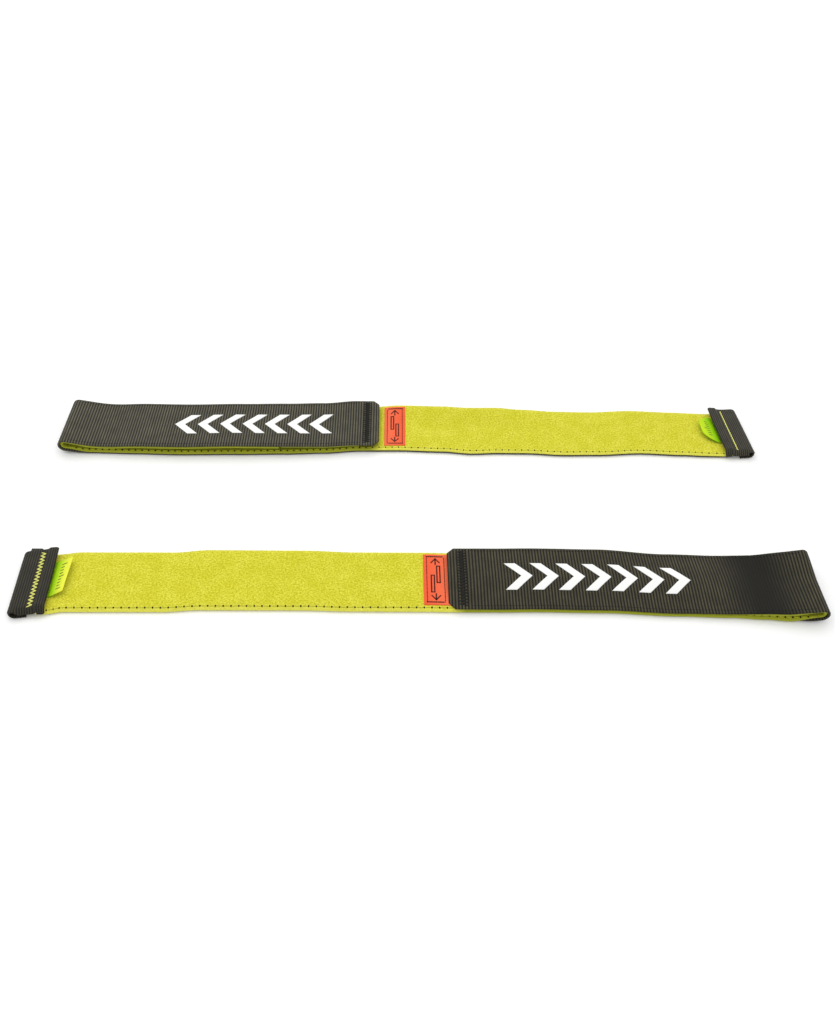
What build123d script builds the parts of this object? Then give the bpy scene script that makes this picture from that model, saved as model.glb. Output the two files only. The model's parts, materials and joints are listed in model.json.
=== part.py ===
from build123d import *

import math
import os
from dataclasses import dataclass

# A pair of hook-and-loop webbing straps, a left one and a right one, lying flat and folded shut.
# Millimetres. +X runs along the straps, +Y across them, +Z up; Z = 0 is the surface they lie on.
# The right strap folds at its +X end and has its stop at -X; the left strap is its mirror image.

# The pair
FOLDED_LENGTH = 420.0          # stop end to the outside of the fold
STRAP_SPACING = 124.0          # centre line to centre line, along Y
STAGGER = 4.5                  # how far the right strap lies ahead of the left one, along X

# The tapes that a strap is sewn from
WEBBING_WIDTH = 40.0
WEBBING_THICKNESS = 1.3
LOOP_WIDTH = 38.0              # loop lining and hook patch
LOOP_THICKNESS = 1.6
HOOK_THICKNESS = 1.6           # it carries on from the flap's lining, and is as thick
HOOK_CLEARANCE = 0.15          # hook patch above the loop pile that it grips

# The fold: a half ring with a finger-narrow bight, cut into links that unroll
FOLD_INNER_RADIUS = 1.2
FOLD_LINKS = 4
LINK_ANGLE = 180.0 / FOLD_LINKS
STRAP_THICKNESS = WEBBING_THICKNESS + LOOP_THICKNESS
FOLD_OUTER_RADIUS = FOLD_INNER_RADIUS + STRAP_THICKNESS
CURL_ANGLE = 11.0              # how steeply the base has curled up where the fold starts
CURL_LENGTH = 18.0             # along X, over which it curls up

# The flap, from the fold back over the base
FLAP_LENGTH = 194.0            # outside of the fold to the flap's tip
FLAP_BEND_RADIUS = 120.0       # where it comes down from the fold and levels out on the base
FLAP_LINING_END = 133.0        # from the outside of the fold; the hook patch takes over there
HOOK_START = 134.0             # from the outside of the fold
HOOK_TIP_MARGIN = 12.0
TIP_CHAMFER = 3.5
TIP_SEAM_INSET = 8.0           # tip to the middle of the cross seam
TIP_SEAM_WIDTH = 4.0

# The stop at the strap's other end
STOP_WIDTH = 42.0
STOP_LENGTH = 18.5
STOP_TAPE = 1.2
STOP_ROLL_RADIUS = 3.0         # the rolled outer end, so 6 mm thick
STOP_LOWER_LEG = 9.0
LIP_LENGTH = 5.2
LIP_RISE = 1.0
LIP_RADIUS = 1.35
STEP_START = 10.0              # the base comes down off the stop's lower leg here
STEP_LENGTH = 9.0
STEP_DROP = 1.3
CORE_LENGTH = 6.2
CORE_HEIGHT = 2.0
CORE_WIDTH = 40.0
STOP_SEAM_AT = 11.0
STOP_SEAM_WIDTH = 2.2
STOP_SEAM_LENGTH = 37.0

# The size tag that is sewn in under the stop's lip
TAG_WIDTH = 24.0
TAG_LENGTH = 9.5
TAG_THICKNESS = 0.5
TAG_PIVOT = (18.2, 3.5)        # along the strap, and up
TAG_REST_ANGLE = 20.0

# The label that marks how far the flap has to reach
LABEL_START = 212.3
LABEL_LENGTH = 12.9            # along the strap, as far as the flap's tip
LABEL_TAIL = 2.2               # what lies under the tip
LABEL_WIDTH = 35.0             # across it
LABEL_THICKNESS = 0.5
LABEL_SEAM_INSET = 1.8

# Threads and the woven mark
THREAD = 0.6
THREAD_HEIGHT = 0.15
SEAM_DEPTH = 0.3               # how far the edge seams sink into the pile
SEAM_INSET = 1.8               # from the lining's edge
FLAP_SEAM_INSET = 2.0          # from the webbing's edge
MARK_START = 29.0              # tip to the mark
MARK_LENGTH = 98.0
MARK_HEIGHT = 17.5
MARK_BARS = 7
MARK_BAR_WIDTH = 6.0
MARK_THICKNESS = 0.15


@dataclass(frozen=True)
class Run:
    """A stretch of a path: straight for its length, or an arc that turns the heading by an angle.

    A positive turn is to the left of the heading, which is the side that strip() offsets towards.
    """

    length: float = 0.0
    radius: float = 0.0
    turn: float = 0.0


def bend(radius, turn):
    """An arc of that radius, turning by that many degrees."""
    return Run(radius=radius, turn=turn)


def step_runs(length, drop):
    """Two equal and opposite arcs that move a path sideways by drop over length; left if positive."""
    angle = 2.0 * math.degrees(math.atan(abs(drop) / length))
    radius = length / (2.0 * math.sin(math.radians(angle)))
    side = math.copysign(angle, drop)
    return [bend(radius, side), bend(radius, -side)]


def walk(start, heading, runs):
    """Follow a path. Gives the pose, as (x, z, heading in degrees), at the start and after each run."""
    x, z = start
    poses = [(x, z, heading)]
    for run in runs:
        if run.turn:
            side = math.copysign(90.0, run.turn)
            to_centre = math.radians(heading + side)
            cx, cz = x + run.radius * math.cos(to_centre), z + run.radius * math.sin(to_centre)
            heading += run.turn
            out = math.radians(heading - side)
            x, z = cx + run.radius * math.cos(out), cz + run.radius * math.sin(out)
        else:
            x += run.length * math.cos(math.radians(heading))
            z += run.length * math.sin(math.radians(heading))
        poses.append((x, z, heading))
    return poses


def beside(pose, offset):
    """The point at an offset to the left of a pose."""
    x, z, heading = pose
    left = math.radians(heading + 90.0)
    return (x + offset * math.cos(left), z + offset * math.sin(left))


def strip(start, heading, runs, low, high, width):
    """A tape that follows a path, between two offsets to its left, centred on Y = 0."""
    poses = walk(start, heading, runs)

    def side(offset):
        edges = []
        for run, before, after in zip(runs, poses, poses[1:]):
            if run.turn:
                middle = walk(before[:2], before[2], [bend(run.radius, run.turn / 2.0)])[-1]
                edges.append(ThreePointArc(beside(before, offset), beside(middle, offset), beside(after, offset)))
            else:
                edges.append(Line(beside(before, offset), beside(after, offset)))
        return edges

    ends = [Line(beside(pose, low), beside(pose, high)) for pose in (poses[0], poses[-1])]
    section = Plane.XZ * make_face(side(low) + side(high) + ends)
    return extrude(section, amount=width / 2.0, both=True)


def slab(x_range, y_range, z_range):
    """A plain block between three pairs of limits."""
    sizes = [high - low for low, high in (x_range, y_range, z_range)]
    middles = [(high + low) / 2.0 for low, high in (x_range, y_range, z_range)]
    return Pos(*middles) * Box(*sizes)


def zigzag(x_middle, width, length, z_base, pitch):
    """A zigzag line of thread across the strap, standing on z_base."""
    legs = round(length / pitch)
    reach = (width - THREAD) / 2.0
    points = [
        (x_middle + reach * (-1) ** leg, -length / 2.0 + leg * length / legs) for leg in range(legs + 1)
    ]
    near_side = [(x - THREAD / 2.0, y) for x, y in points]
    far_side = [(x + THREAD / 2.0, y) for x, y in reversed(points)]
    outline = make_face(Polyline(*near_side, *far_side, close=True))
    return Pos(0, 0, z_base) * extrude(outline, amount=THREAD_HEIGHT)


# The base's path along the underside of the webbing, from inside the stop to the fold
CURL_SINE = math.sin(math.radians(CURL_ANGLE))
CURL_VERSINE = 1.0 - math.cos(math.radians(CURL_ANGLE))
FOLD_START = FOLDED_LENGTH - FOLD_OUTER_RADIUS + FOLD_OUTER_RADIUS * CURL_SINE
BASE_START = (STOP_ROLL_RADIUS, STEP_DROP)
BASE_RUNS = [
    Run(length=STEP_START - STOP_ROLL_RADIUS),
    *step_runs(STEP_LENGTH, -STEP_DROP),
    Run(length=FOLD_START - CURL_LENGTH - STEP_START - STEP_LENGTH),
    bend(CURL_LENGTH / CURL_SINE, CURL_ANGLE),
]
BASE_LINING_START = (STEP_START, STEP_DROP)
FOLD_POSE = walk(BASE_START, 0.0, BASE_RUNS)[-1]

# The flap's path along the outside of the webbing, from the fold to the tip
FLAP_POSE = walk(FOLD_POSE[:2], FOLD_POSE[2], [bend(FOLD_OUTER_RADIUS, 180.0)])[-1]
FLAT_OUTSIDE = STRAP_THICKNESS + HOOK_CLEARANCE + HOOK_THICKNESS + WEBBING_THICKNESS
FLAP_SLOPE = (FLAP_POSE[1] - FLAT_OUTSIDE - FLAP_BEND_RADIUS * CURL_VERSINE) / CURL_SINE
FLAP_DESCENT = [Run(length=FLAP_SLOPE), bend(FLAP_BEND_RADIUS, -CURL_ANGLE)]
FLAT_START = walk(FLAP_POSE[:2], FLAP_POSE[2], FLAP_DESCENT)[-1][0]
FLAP_TIP = FOLDED_LENGTH - FLAP_LENGTH
FLAP_RUNS = [*FLAP_DESCENT, Run(length=FLAT_START - FLAP_TIP)]
BACKWARDS = 180.0


def base_webbing():
    """The black webbing that carries the load, lying underneath."""
    return strip(BASE_START, 0.0, BASE_RUNS, 0.0, WEBBING_THICKNESS, WEBBING_WIDTH)


def base_seams():
    """The two rows of thread along the lining, sunk flush into its pile."""
    rows = strip(
        BASE_LINING_START, 0.0, BASE_RUNS[1:], STRAP_THICKNESS - SEAM_DEPTH, STRAP_THICKNESS, THREAD
    )
    across = LOOP_WIDTH / 2.0 - SEAM_INSET
    return [Pos(0, side * across, 0) * rows for side in (-1, 1)]


def base_lining():
    """The loop pile on the webbing, with a groove for each row of thread."""
    pile = strip(BASE_LINING_START, 0.0, BASE_RUNS[1:], WEBBING_THICKNESS, STRAP_THICKNESS, LOOP_WIDTH)
    for row in base_seams():
        pile -= row
    return pile


def fold_link(index, low, high, width):
    """One link of the fold, between two offsets from its outside. Links count from the base."""
    start, height, heading = FOLD_POSE
    if index:
        turned = [bend(FOLD_OUTER_RADIUS, LINK_ANGLE * index)]
        start, height, heading = walk((start, height), heading, turned)[-1]
    return strip((start, height), heading, [bend(FOLD_OUTER_RADIUS, LINK_ANGLE)], low, high, width)


def chamfer_tip(tape):
    """Cut the two corners off the flap's tip."""
    corners = tape.edges().filter_by(Axis.Z).group_by(Axis.X)[0]
    return chamfer(corners, TIP_CHAMFER)


def flap_webbing():
    """The black webbing of the flap, ribs outwards."""
    tape = strip(FLAP_POSE[:2], FLAP_POSE[2], FLAP_RUNS, 0.0, WEBBING_THICKNESS, WEBBING_WIDTH)
    return chamfer_tip(tape)


def flap_lining():
    """The loop lining, carried round the fold and along the flap as far as the hook patch."""
    runs = [*FLAP_DESCENT, Run(length=FLAT_START - FOLDED_LENGTH + FLAP_LINING_END)]
    return strip(FLAP_POSE[:2], FLAP_POSE[2], runs, WEBBING_THICKNESS, STRAP_THICKNESS, LOOP_WIDTH)


def hook_patch():
    """The hook tape under the flap that grips the base's lining."""
    underside = FLAT_OUTSIDE - WEBBING_THICKNESS
    return slab(
        (FLAP_TIP + HOOK_TIP_MARGIN, FOLDED_LENGTH - HOOK_START),
        (-LOOP_WIDTH / 2.0, LOOP_WIDTH / 2.0),
        (underside - HOOK_THICKNESS, underside),
    )


def flap_seams():
    """The two rows of black thread along the flap's outside."""
    length = FLAT_START - FLAP_TIP - TIP_SEAM_INSET - TIP_SEAM_WIDTH
    runs = [*FLAP_DESCENT, Run(length=length)]
    rows = strip(FLAP_POSE[:2], FLAP_POSE[2], runs, -THREAD_HEIGHT, 0.0, THREAD)
    across = WEBBING_WIDTH / 2.0 - FLAP_SEAM_INSET
    return [Pos(0, side * across, 0) * rows for side in (-1, 1)]


def flap_bartack():
    """The zigzag cross seam that closes the flap's tip."""
    return zigzag(FLAP_TIP + TIP_SEAM_INSET, TIP_SEAM_WIDTH, WEBBING_WIDTH - 2.0, FLAT_OUTSIDE, 1.2)


def flap_mark():
    """A plain row of chevrons woven into the flap, in place of any name."""
    pitch = (MARK_LENGTH - MARK_BAR_WIDTH - MARK_HEIGHT / 2.0) / (MARK_BARS - 1)
    half = MARK_HEIGHT / 2.0
    chevron = Polyline(
        (0, -half), (MARK_BAR_WIDTH, -half), (MARK_BAR_WIDTH + half, 0),
        (MARK_BAR_WIDTH, half), (0, half), (half, 0), close=True,
    )
    solid = extrude(make_face(chevron), amount=MARK_THICKNESS)
    start = FLAP_TIP + MARK_START
    return [Pos(start + index * pitch, 0, FLAT_OUTSIDE) * solid for index in range(MARK_BARS)]


def stop_sleeve():
    """The ribbed tape wrapped round the strap's end, rolled outside and hemmed into a lip inside."""
    upper_leg = STOP_LENGTH - STOP_ROLL_RADIUS - LIP_LENGTH - 1.0
    lip_run = LIP_LENGTH - LIP_RADIUS - 1.0
    runs = [
        Run(length=STOP_LOWER_LEG - STOP_ROLL_RADIUS),
        bend(STOP_ROLL_RADIUS, -180.0),
        Run(length=upper_leg),
        *step_runs(2.0, LIP_RISE),
        Run(length=lip_run),
        bend(LIP_RADIUS, -180.0),
        Run(length=lip_run),
    ]
    return strip((STOP_LOWER_LEG, 0.0), BACKWARDS, runs, -STOP_TAPE, 0.0, STOP_WIDTH)


def stop_core():
    """The stiff bar sewn into the rolled end, so that it can't pull through a slot."""
    bottom = STEP_DROP + WEBBING_THICKNESS
    bar = slab(
        (STOP_ROLL_RADIUS, STOP_ROLL_RADIUS + CORE_LENGTH),
        (-CORE_WIDTH / 2.0, CORE_WIDTH / 2.0),
        (bottom, bottom + CORE_HEIGHT),
    )
    return fillet(bar.edges().filter_by(Axis.Y).group_by(Axis.Z)[-1], 0.6)


def stop_bartack():
    """The bright zigzag seam through the stop."""
    return zigzag(STOP_SEAM_AT, STOP_SEAM_WIDTH, STOP_SEAM_LENGTH, 2.0 * STOP_ROLL_RADIUS, 0.95)


def size_tag():
    """The folded woven tag, rising out from under the stop's lip."""
    half = TAG_THICKNESS / 2.0
    return strip(TAG_PIVOT, TAG_REST_ANGLE, [Run(length=TAG_LENGTH)], -half, half, TAG_WIDTH)


def overlap_label():
    """The label sewn on just past the flap's tip."""
    return slab(
        (LABEL_START, LABEL_START + LABEL_LENGTH + LABEL_TAIL),
        (-LABEL_WIDTH / 2.0, LABEL_WIDTH / 2.0),
        (STRAP_THICKNESS, STRAP_THICKNESS + LABEL_THICKNESS),
    )


def label_seam():
    """The rectangle of thread that holds the label."""
    length = LABEL_LENGTH - 2.0 * LABEL_SEAM_INSET
    width = LABEL_WIDTH - 2.0 * LABEL_SEAM_INSET
    frame = Rectangle(length, width) - Rectangle(length - 2.0 * THREAD, width - 2.0 * THREAD)
    raised = extrude(frame, amount=THREAD_HEIGHT)
    return Pos(LABEL_START + LABEL_LENGTH / 2.0, 0, STRAP_THICKNESS + LABEL_THICKNESS) * raised


def strap():
    """Every piece of one strap by name, stop end at X = 0, fold towards +X, centred on Y = 0."""
    pieces = {
        "base_webbing": base_webbing(),
        "base_lining": base_lining(),
        "base_seams": base_seams(),
        "stop_sleeve": stop_sleeve(),
        "stop_core": stop_core(),
        "stop_bartack": stop_bartack(),
        "size_tag": size_tag(),
        "overlap_label": overlap_label(),
        "label_seam": label_seam(),
        "flap_webbing": flap_webbing(),
        "flap_lining": flap_lining(),
        "hook_patch": hook_patch(),
        "flap_seams": flap_seams(),
        "flap_bartack": flap_bartack(),
        "flap_mark": flap_mark(),
    }
    for index in range(FOLD_LINKS):
        webbing = fold_link(index, 0.0, WEBBING_THICKNESS, WEBBING_WIDTH)
        lining = fold_link(index, WEBBING_THICKNESS, STRAP_THICKNESS, LOOP_WIDTH)
        pieces[f"fold_webbing_{index + 1}"] = webbing
        pieces[f"fold_lining_{index + 1}"] = lining
    return pieces


def place(piece, hand):
    """Move a strap's piece to the right strap's place, or mirror it to the left strap's."""
    solids = piece if isinstance(piece, list) else [piece]
    end = FOLDED_LENGTH / 2.0 - STAGGER / 2.0
    if hand == "left":
        moved = [Pos(end, STRAP_SPACING / 2.0, 0) * solid.mirror(Plane.YZ) for solid in solids]
    else:
        moved = [Pos(-end, -STRAP_SPACING / 2.0, 0) * solid for solid in solids]
    return moved[0] if len(moved) == 1 else Compound(children=moved)


def main():
    os.makedirs("parts", exist_ok=True)
    for name, piece in strap().items():
        for hand in ("left", "right"):
            export_step(place(piece, hand), f"parts/{hand}_{name}.step")


if __name__ == "__main__":
    main()
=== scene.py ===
"""A pair of hook-and-loop webbing straps, a left one and a right one, folded shut on a pale floor.

Every tape is made flat on a bench, in millimetres: X runs along the strap's path, Y across it, and Z
from the webbing's outside towards the loop lining. Geometry Nodes add the ribs, stitches, loops and
hooks. The plain mesh that comes out is laid along the path, eased as the soft strap lies, and put in
its place in the row frame, in metres.
"""

import json
import logging
import math
from dataclasses import dataclass, field
from enum import Enum
from typing import Callable, Iterable, Sequence

import bpy
import numpy as np
from mathutils import Matrix, Vector

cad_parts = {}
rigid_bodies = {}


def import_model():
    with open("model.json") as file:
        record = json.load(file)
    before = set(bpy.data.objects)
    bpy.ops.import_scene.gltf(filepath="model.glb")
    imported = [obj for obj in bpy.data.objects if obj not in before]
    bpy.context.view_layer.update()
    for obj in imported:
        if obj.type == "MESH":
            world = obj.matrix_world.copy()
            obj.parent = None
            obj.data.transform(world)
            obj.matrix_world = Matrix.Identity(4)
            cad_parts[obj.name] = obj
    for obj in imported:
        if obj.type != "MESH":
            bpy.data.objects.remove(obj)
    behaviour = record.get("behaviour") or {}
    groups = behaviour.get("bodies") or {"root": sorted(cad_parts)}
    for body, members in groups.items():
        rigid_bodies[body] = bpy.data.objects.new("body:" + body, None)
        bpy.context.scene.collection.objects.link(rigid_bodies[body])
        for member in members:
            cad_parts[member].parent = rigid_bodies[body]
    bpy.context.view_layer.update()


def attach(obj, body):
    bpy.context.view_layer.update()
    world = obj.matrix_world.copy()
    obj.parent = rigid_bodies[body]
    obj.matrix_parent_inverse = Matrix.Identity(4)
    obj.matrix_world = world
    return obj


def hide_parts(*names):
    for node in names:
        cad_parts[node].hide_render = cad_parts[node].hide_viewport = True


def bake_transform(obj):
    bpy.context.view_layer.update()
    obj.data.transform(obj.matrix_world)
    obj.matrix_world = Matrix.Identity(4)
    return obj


log = logging.getLogger("straps")

MM = 0.001
UV_LAYER = "UVMap"
WAVE_TURN = math.pi / 10.0  # a wave texture's scale for bands 1 mm apart, on coordinates in millimetres


class Hand(Enum):
    """Which strap of the pair: the right one lies in front, the left one is its mirror image."""

    RIGHT = "right"
    LEFT = "left"

    @property
    def side(self) -> float:
        """+1 where the strap folds towards +X, -1 where it is mirrored."""
        return 1.0 if self is Hand.RIGHT else -1.0


class Strand(Enum):
    """The two layers that a place along X can lie on."""

    BASE = "base"
    FLAP = "flap"


# ---------------------------------------------------------------- nodes


def add_node(tree: bpy.types.NodeTree, kind: str, inputs: dict | None = None, **settings) -> bpy.types.Node:
    """Adds a node, with its settings and links.

    Args:
        tree: the node tree to add it to.
        kind: the node's type.
        inputs: a value or a socket to link for each input, by name or number.
        **settings: the node's own properties, set before its inputs.

    Returns:
        The new node.
    """
    node = tree.nodes.new(kind)
    for name, value in settings.items():
        setattr(node, name, value)
    for key, value in (inputs or {}).items():
        if isinstance(value, bpy.types.NodeSocket):
            tree.links.new(value, node.inputs[key])
        else:
            node.inputs[key].default_value = value
    return node


def linear(code: str) -> tuple[float, float, float, float]:
    """Turns an sRGB hex colour into a linear one.

    Args:
        code: six hex digits after a hash.

    Returns:
        Red, green, blue and an alpha of 1.
    """
    parts = [int(code[i : i + 2], 16) / 255.0 for i in (1, 3, 5)]
    return (*(c / 12.92 if c <= 0.04045 else ((c + 0.055) / 1.055) ** 2.4 for c in parts), 1.0)


class Wires:
    """Adds nodes to one tree and hands back the socket that is wanted of each."""

    def __init__(self, tree: bpy.types.NodeTree) -> None:
        """Takes the tree to add to."""
        self.tree = tree

    def add(self, kind: str, inputs: dict | None = None, out: int | str = 0, **settings) -> bpy.types.NodeSocket:
        """Adds a node and returns one of its outputs, the first by default."""
        return add_node(self.tree, kind, inputs, **settings).outputs[out]

    def math(self, operation: str, *values, **settings) -> bpy.types.NodeSocket:
        """Arithmetic on numbers or sockets."""
        return self.add("ShaderNodeMath", dict(enumerate(values)), operation=operation, **settings)

    def times(self, *values) -> bpy.types.NodeSocket:
        """The product of two numbers or sockets."""
        return self.math("MULTIPLY", *values)

    def vector(self, *parts) -> bpy.types.NodeSocket:
        """A vector of up to three numbers or sockets."""
        return self.add("ShaderNodeCombineXYZ", dict(enumerate(parts)))

    def split(self, vector: bpy.types.NodeSocket, axis: int = 0) -> bpy.types.NodeSocket:
        """One part of a vector."""
        return self.add("ShaderNodeSeparateXYZ", {0: vector}, axis)

    def uv(self) -> bpy.types.NodeSocket:
        """Along and across the piece, in millimetres."""
        return self.add("ShaderNodeUVMap", uv_map=UV_LAYER)

    def place(self) -> bpy.types.NodeSocket:
        """Object coordinates, in metres."""
        return self.add("ShaderNodeTexCoord", out="Object")

    def noted(self, name: str, out: str = "Fac") -> bpy.types.NodeSocket:
        """What a bench tool noted on the mesh."""
        return self.add("ShaderNodeAttribute", out=out, attribute_name=name)

    def noise(self, vector: bpy.types.NodeSocket, scale: float, **more) -> bpy.types.NodeSocket:
        """Noise on that scale; more gives other inputs of the node."""
        return self.add("ShaderNodeTexNoise", {"Vector": vector, "Scale": scale, **more}, "Fac")

    def bands(self, vector: bpy.types.NodeSocket, apart: float, way: str, **more) -> bpy.types.NodeSocket:
        """Waves that far apart; more gives other inputs of the node."""
        inputs = {"Vector": vector, "Scale": WAVE_TURN / apart, **more}
        return self.add("ShaderNodeTexWave", inputs, "Fac", bands_direction=way)

    def spread(self, value: bpy.types.NodeSocket, low: float, high: float, least: float = 0.0, most: float = 1.0,
               **settings) -> bpy.types.NodeSocket:
        """Turns the span from low to high into the span from least to most."""
        return self.add("ShaderNodeMapRange", {
            "Value": value, "From Min": low, "From Max": high, "To Min": least, "To Max": most,
        }, **settings)

    def mix(self, share: bpy.types.NodeSocket, *ends: str | bpy.types.NodeSocket) -> bpy.types.NodeSocket:
        """A colour between two, each a hex colour or a socket."""
        low, high = (linear(end) if isinstance(end, str) else end for end in ends)
        return self.add("ShaderNodeMix", {0: share, 6: low, 7: high}, 2, data_type="RGBA")

    def bump(self, height: bpy.types.NodeSocket, strength: float, distance: float) -> bpy.types.NodeSocket:
        """A bumped normal; the distance is in millimetres."""
        return self.add("ShaderNodeBump", {"Height": height, "Strength": strength, "Distance": distance * MM})

    def note(self, geometry: bpy.types.NodeSocket, name: str, value: bpy.types.NodeSocket,
             kind: str = "FLOAT") -> bpy.types.NodeSocket:
        """Notes a value on each point of a geometry."""
        return self.add("GeometryNodeStoreNamedAttribute", {"Geometry": geometry, "Name": name, "Value": value},
                        data_type=kind, domain="POINT")

    def skin(self) -> bpy.types.NodeSocket:
        """-1 on a tape's low face and +1 on its high one."""
        return self.add("GeometryNodeInputNamedAttribute", {"Name": "skin"}, "Attribute", data_type="FLOAT")

    def paint(self, geometry: bpy.types.NodeSocket, material: bpy.types.NodeSocket) -> bpy.types.NodeSocket:
        """Gives a geometry its material."""
        return self.add("GeometryNodeSetMaterial", {"Geometry": geometry, "Material": material})

    def realize(self, geometry: bpy.types.NodeSocket) -> bpy.types.NodeSocket:
        """Turns instances into plain geometry."""
        return self.add("GeometryNodeRealizeInstances", {"Geometry": geometry})

    def copies(self, points: bpy.types.NodeSocket, instance: bpy.types.NodeSocket, **more) -> bpy.types.NodeSocket:
        """Puts an instance on each point; more gives other inputs of the node."""
        return self.add("GeometryNodeInstanceOnPoints", {"Points": points, "Instance": instance, **more})

    def line(self, **inputs) -> bpy.types.NodeSocket:
        """Evenly spaced points, from the node's inputs with underscores for spaces."""
        given = {name.replace("_", " "): value for name, value in inputs.items()}
        return self.add("GeometryNodeMeshLine", given, mode="OFFSET")

    def ball(self, rings: int, size: bpy.types.NodeSocket) -> bpy.types.NodeSocket:
        """A ball, one across, scaled to a size."""
        ball = self.add("GeometryNodeMeshUVSphere", {"Segments": 8, "Rings": rings, "Radius": 0.5})
        return self.add("GeometryNodeTransform", {"Geometry": ball, "Scale": size})

    def thread(self, length: bpy.types.NodeSocket, given: bpy.types.bpy_prop_collection) -> bpy.types.NodeSocket:
        """A drop of thread along X, with its own coordinates noted as "thread"."""
        drop = self.ball(6, self.vector(length, given["Thread"], given["Flat"]))
        return self.note(drop, "thread", self.add("GeometryNodeInputPosition"), "FLOAT_VECTOR")


# ---------------------------------------------------------------- finishes

Look = tuple[bpy.types.NodeSocket, bpy.types.NodeSocket | None]  # a colour, and a normal where it has bump


@dataclass(frozen=True)
class Finish:
    """A finish: a principled surface whose colour and bump come from nodes."""

    name: str
    roughness: float = 0.8
    ior: float = 1.5
    specular: float = 0.3
    sheen: float = 0.0
    sheen_tint: str = "#ffffff"
    lit: float = 0.0  # light that comes through from behind

    def make(self) -> bpy.types.Material:
        """Builds the material and returns it."""
        material = bpy.data.materials.new(self.name)
        material.use_nodes = True
        tree = material.node_tree
        tree.nodes.clear()
        tint, normal = self.look(Wires(tree))
        shader = add_node(tree, "ShaderNodeBsdfPrincipled", {
            "Base Color": tint, "Roughness": self.roughness, "IOR": self.ior, "Specular IOR Level": self.specular,
            "Sheen Weight": self.sheen, "Sheen Roughness": 0.5, "Sheen Tint": linear(self.sheen_tint),
            "Emission Color": (1.0, 1.0, 1.0, 1.0), "Emission Strength": self.lit,
        })
        if normal:
            tree.links.new(normal, shader.inputs["Normal"])
        add_node(tree, "ShaderNodeOutputMaterial", {"Surface": shader.outputs[0]})
        return material

    def look(self, wires: Wires) -> Look:
        """Adds the nodes for colour and bump; each finish has its own."""
        raise NotImplementedError


@dataclass(frozen=True)
class RibbedWebbing(Finish):
    """Black polyester grosgrain, woven: thick weft ribs wrapped in fine warp yarns.

    The crests are painted a warm grey, a painted highlight where they catch the light; the grooves between them are
    painted black, as painted shade.
    """

    # crest and groove: a painted highlight on the rib crests and painted shade in the grooves
    crest: str = "#57554b"
    groove: str = "#1d1c17"
    yarn: float = 0.55  # mm between warp yarns, drawn a little coarser than real so that they show
    yarn_height: float = 0.06
    blotch: float = 9.0  # mm, slow variation in the dye
    painted_shade_at: float = -1000.0  # mm along the strap, the middle of a band of painted shade across the ribs
    painted_shade_reach: float = 26.0

    def look(self, wires: Wires) -> Look:
        """Painted highlight on grey crests over painted shade in black grooves, darkened in a painted band of shade,
        with the warp yarns as bump.
        """
        uv = wires.uv()
        dusty = wires.spread(wires.noise(uv, 1.0 / self.blotch, Detail=4.0), 0.3, 0.7, 0.72, 1.15)
        fleck = wires.spread(wires.noise(uv, 1.6, Detail=3.0), 0.3, 0.7, 0.7, 1.2)
        # painted shade: the ribs darken in a band across the strap, around one place along it
        away = wires.math("ABSOLUTE", wires.math("ADD", wires.split(uv), -self.painted_shade_at))
        pressed = wires.spread(away, 2.0, self.painted_shade_reach, 0.05, interpolation_type="SMOOTHSTEP")
        shade = wires.times(wires.times(dusty, fleck), pressed)
        # painted highlight on the crests and painted shade in the grooves, by rib height
        sharp = wires.spread(wires.noted("rib"), 0.35, 0.9)
        height = wires.math("MULTIPLY", sharp, shade, use_clamp=True)
        yarns = wires.bands(uv, self.yarn, "Y", Distortion=0.6, Detail=1.0)
        return wires.mix(height, self.groove, self.crest), wires.bump(yarns, 0.5, self.yarn_height)


@dataclass(frozen=True)
class LoopPile(Finish):
    """Lime yellow nylon loop, knitted and brushed: a soft mottled nap, with a painted highlight along its edges and
    painted shade where the flap lies over it.
    """

    body: str = "#d8d430"
    light: str = "#eeea58"
    deep: str = "#b4b01c"
    tuft: float = 1.0  # mm between tufts
    drift: float = 9.0  # mm, where the brush has turned the nap
    under_flap_shade: str = "#8a9420"  # painted shade, dark olive where the flap lies over the pile
    under_flap_shade_from: float = 0.0  # mm along the strap
    under_flap_shade_over: float = 8.0  # mm that it takes
    edge: str = "#fdf96a"  # painted highlight, pale along the cut edges
    highlight_at: float = 17.4  # mm from the middle
    highlight_over: float = 2.6  # mm that it takes

    def look(self, wires: Wires) -> Look:
        """Three tones of lime by tuft and by nap, painted shade under the flap, a painted highlight at the cut, with
        tufts as bump.
        """
        uv = wires.uv()
        tufts = wires.noise(uv, 1.0 / self.tuft, Detail=5.0, Roughness=0.65)
        nap = wires.noise(uv, 1.0 / self.drift, Detail=2.0)
        low = wires.spread(tufts, 0.28, 0.55)
        high = wires.spread(wires.math("MULTIPLY_ADD", nap, 0.3, tufts), 0.6, 0.85)
        full = wires.mix(high, wires.mix(low, self.deep, self.body), self.light)
        away = wires.math("ABSOLUTE", wires.split(uv, 1))
        # painted highlight: paler towards the cut edges
        cut = wires.spread(away, self.highlight_at, self.highlight_at + self.highlight_over, 0.0, 0.65)
        # painted shade: darker olive where the flap lies over the pile
        under_flap_share = wires.spread(wires.split(uv), self.under_flap_shade_from, self.under_flap_shade_from + self.under_flap_shade_over, 0.0, 0.8)
        lime_with_painted_light = wires.mix(under_flap_share, wires.mix(cut, full, self.edge), self.under_flap_shade)
        return lime_with_painted_light, wires.bump(tufts, 0.7, 0.35)


@dataclass(frozen=True)
class PileFibre(Finish):
    """Single nylon loops of the pile: thin and pale, so lighter than the nap below."""

    body: str = "#e6e04a"
    # root: painted shade at the foot of each loop
    root: str = "#c9c428"

    def look(self, wires: Wires) -> Look:
        """Paler towards the top of each loop, with painted shade at its root among the other loops."""
        return wires.mix(wires.noted("lift"), self.root, self.body), None


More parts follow.
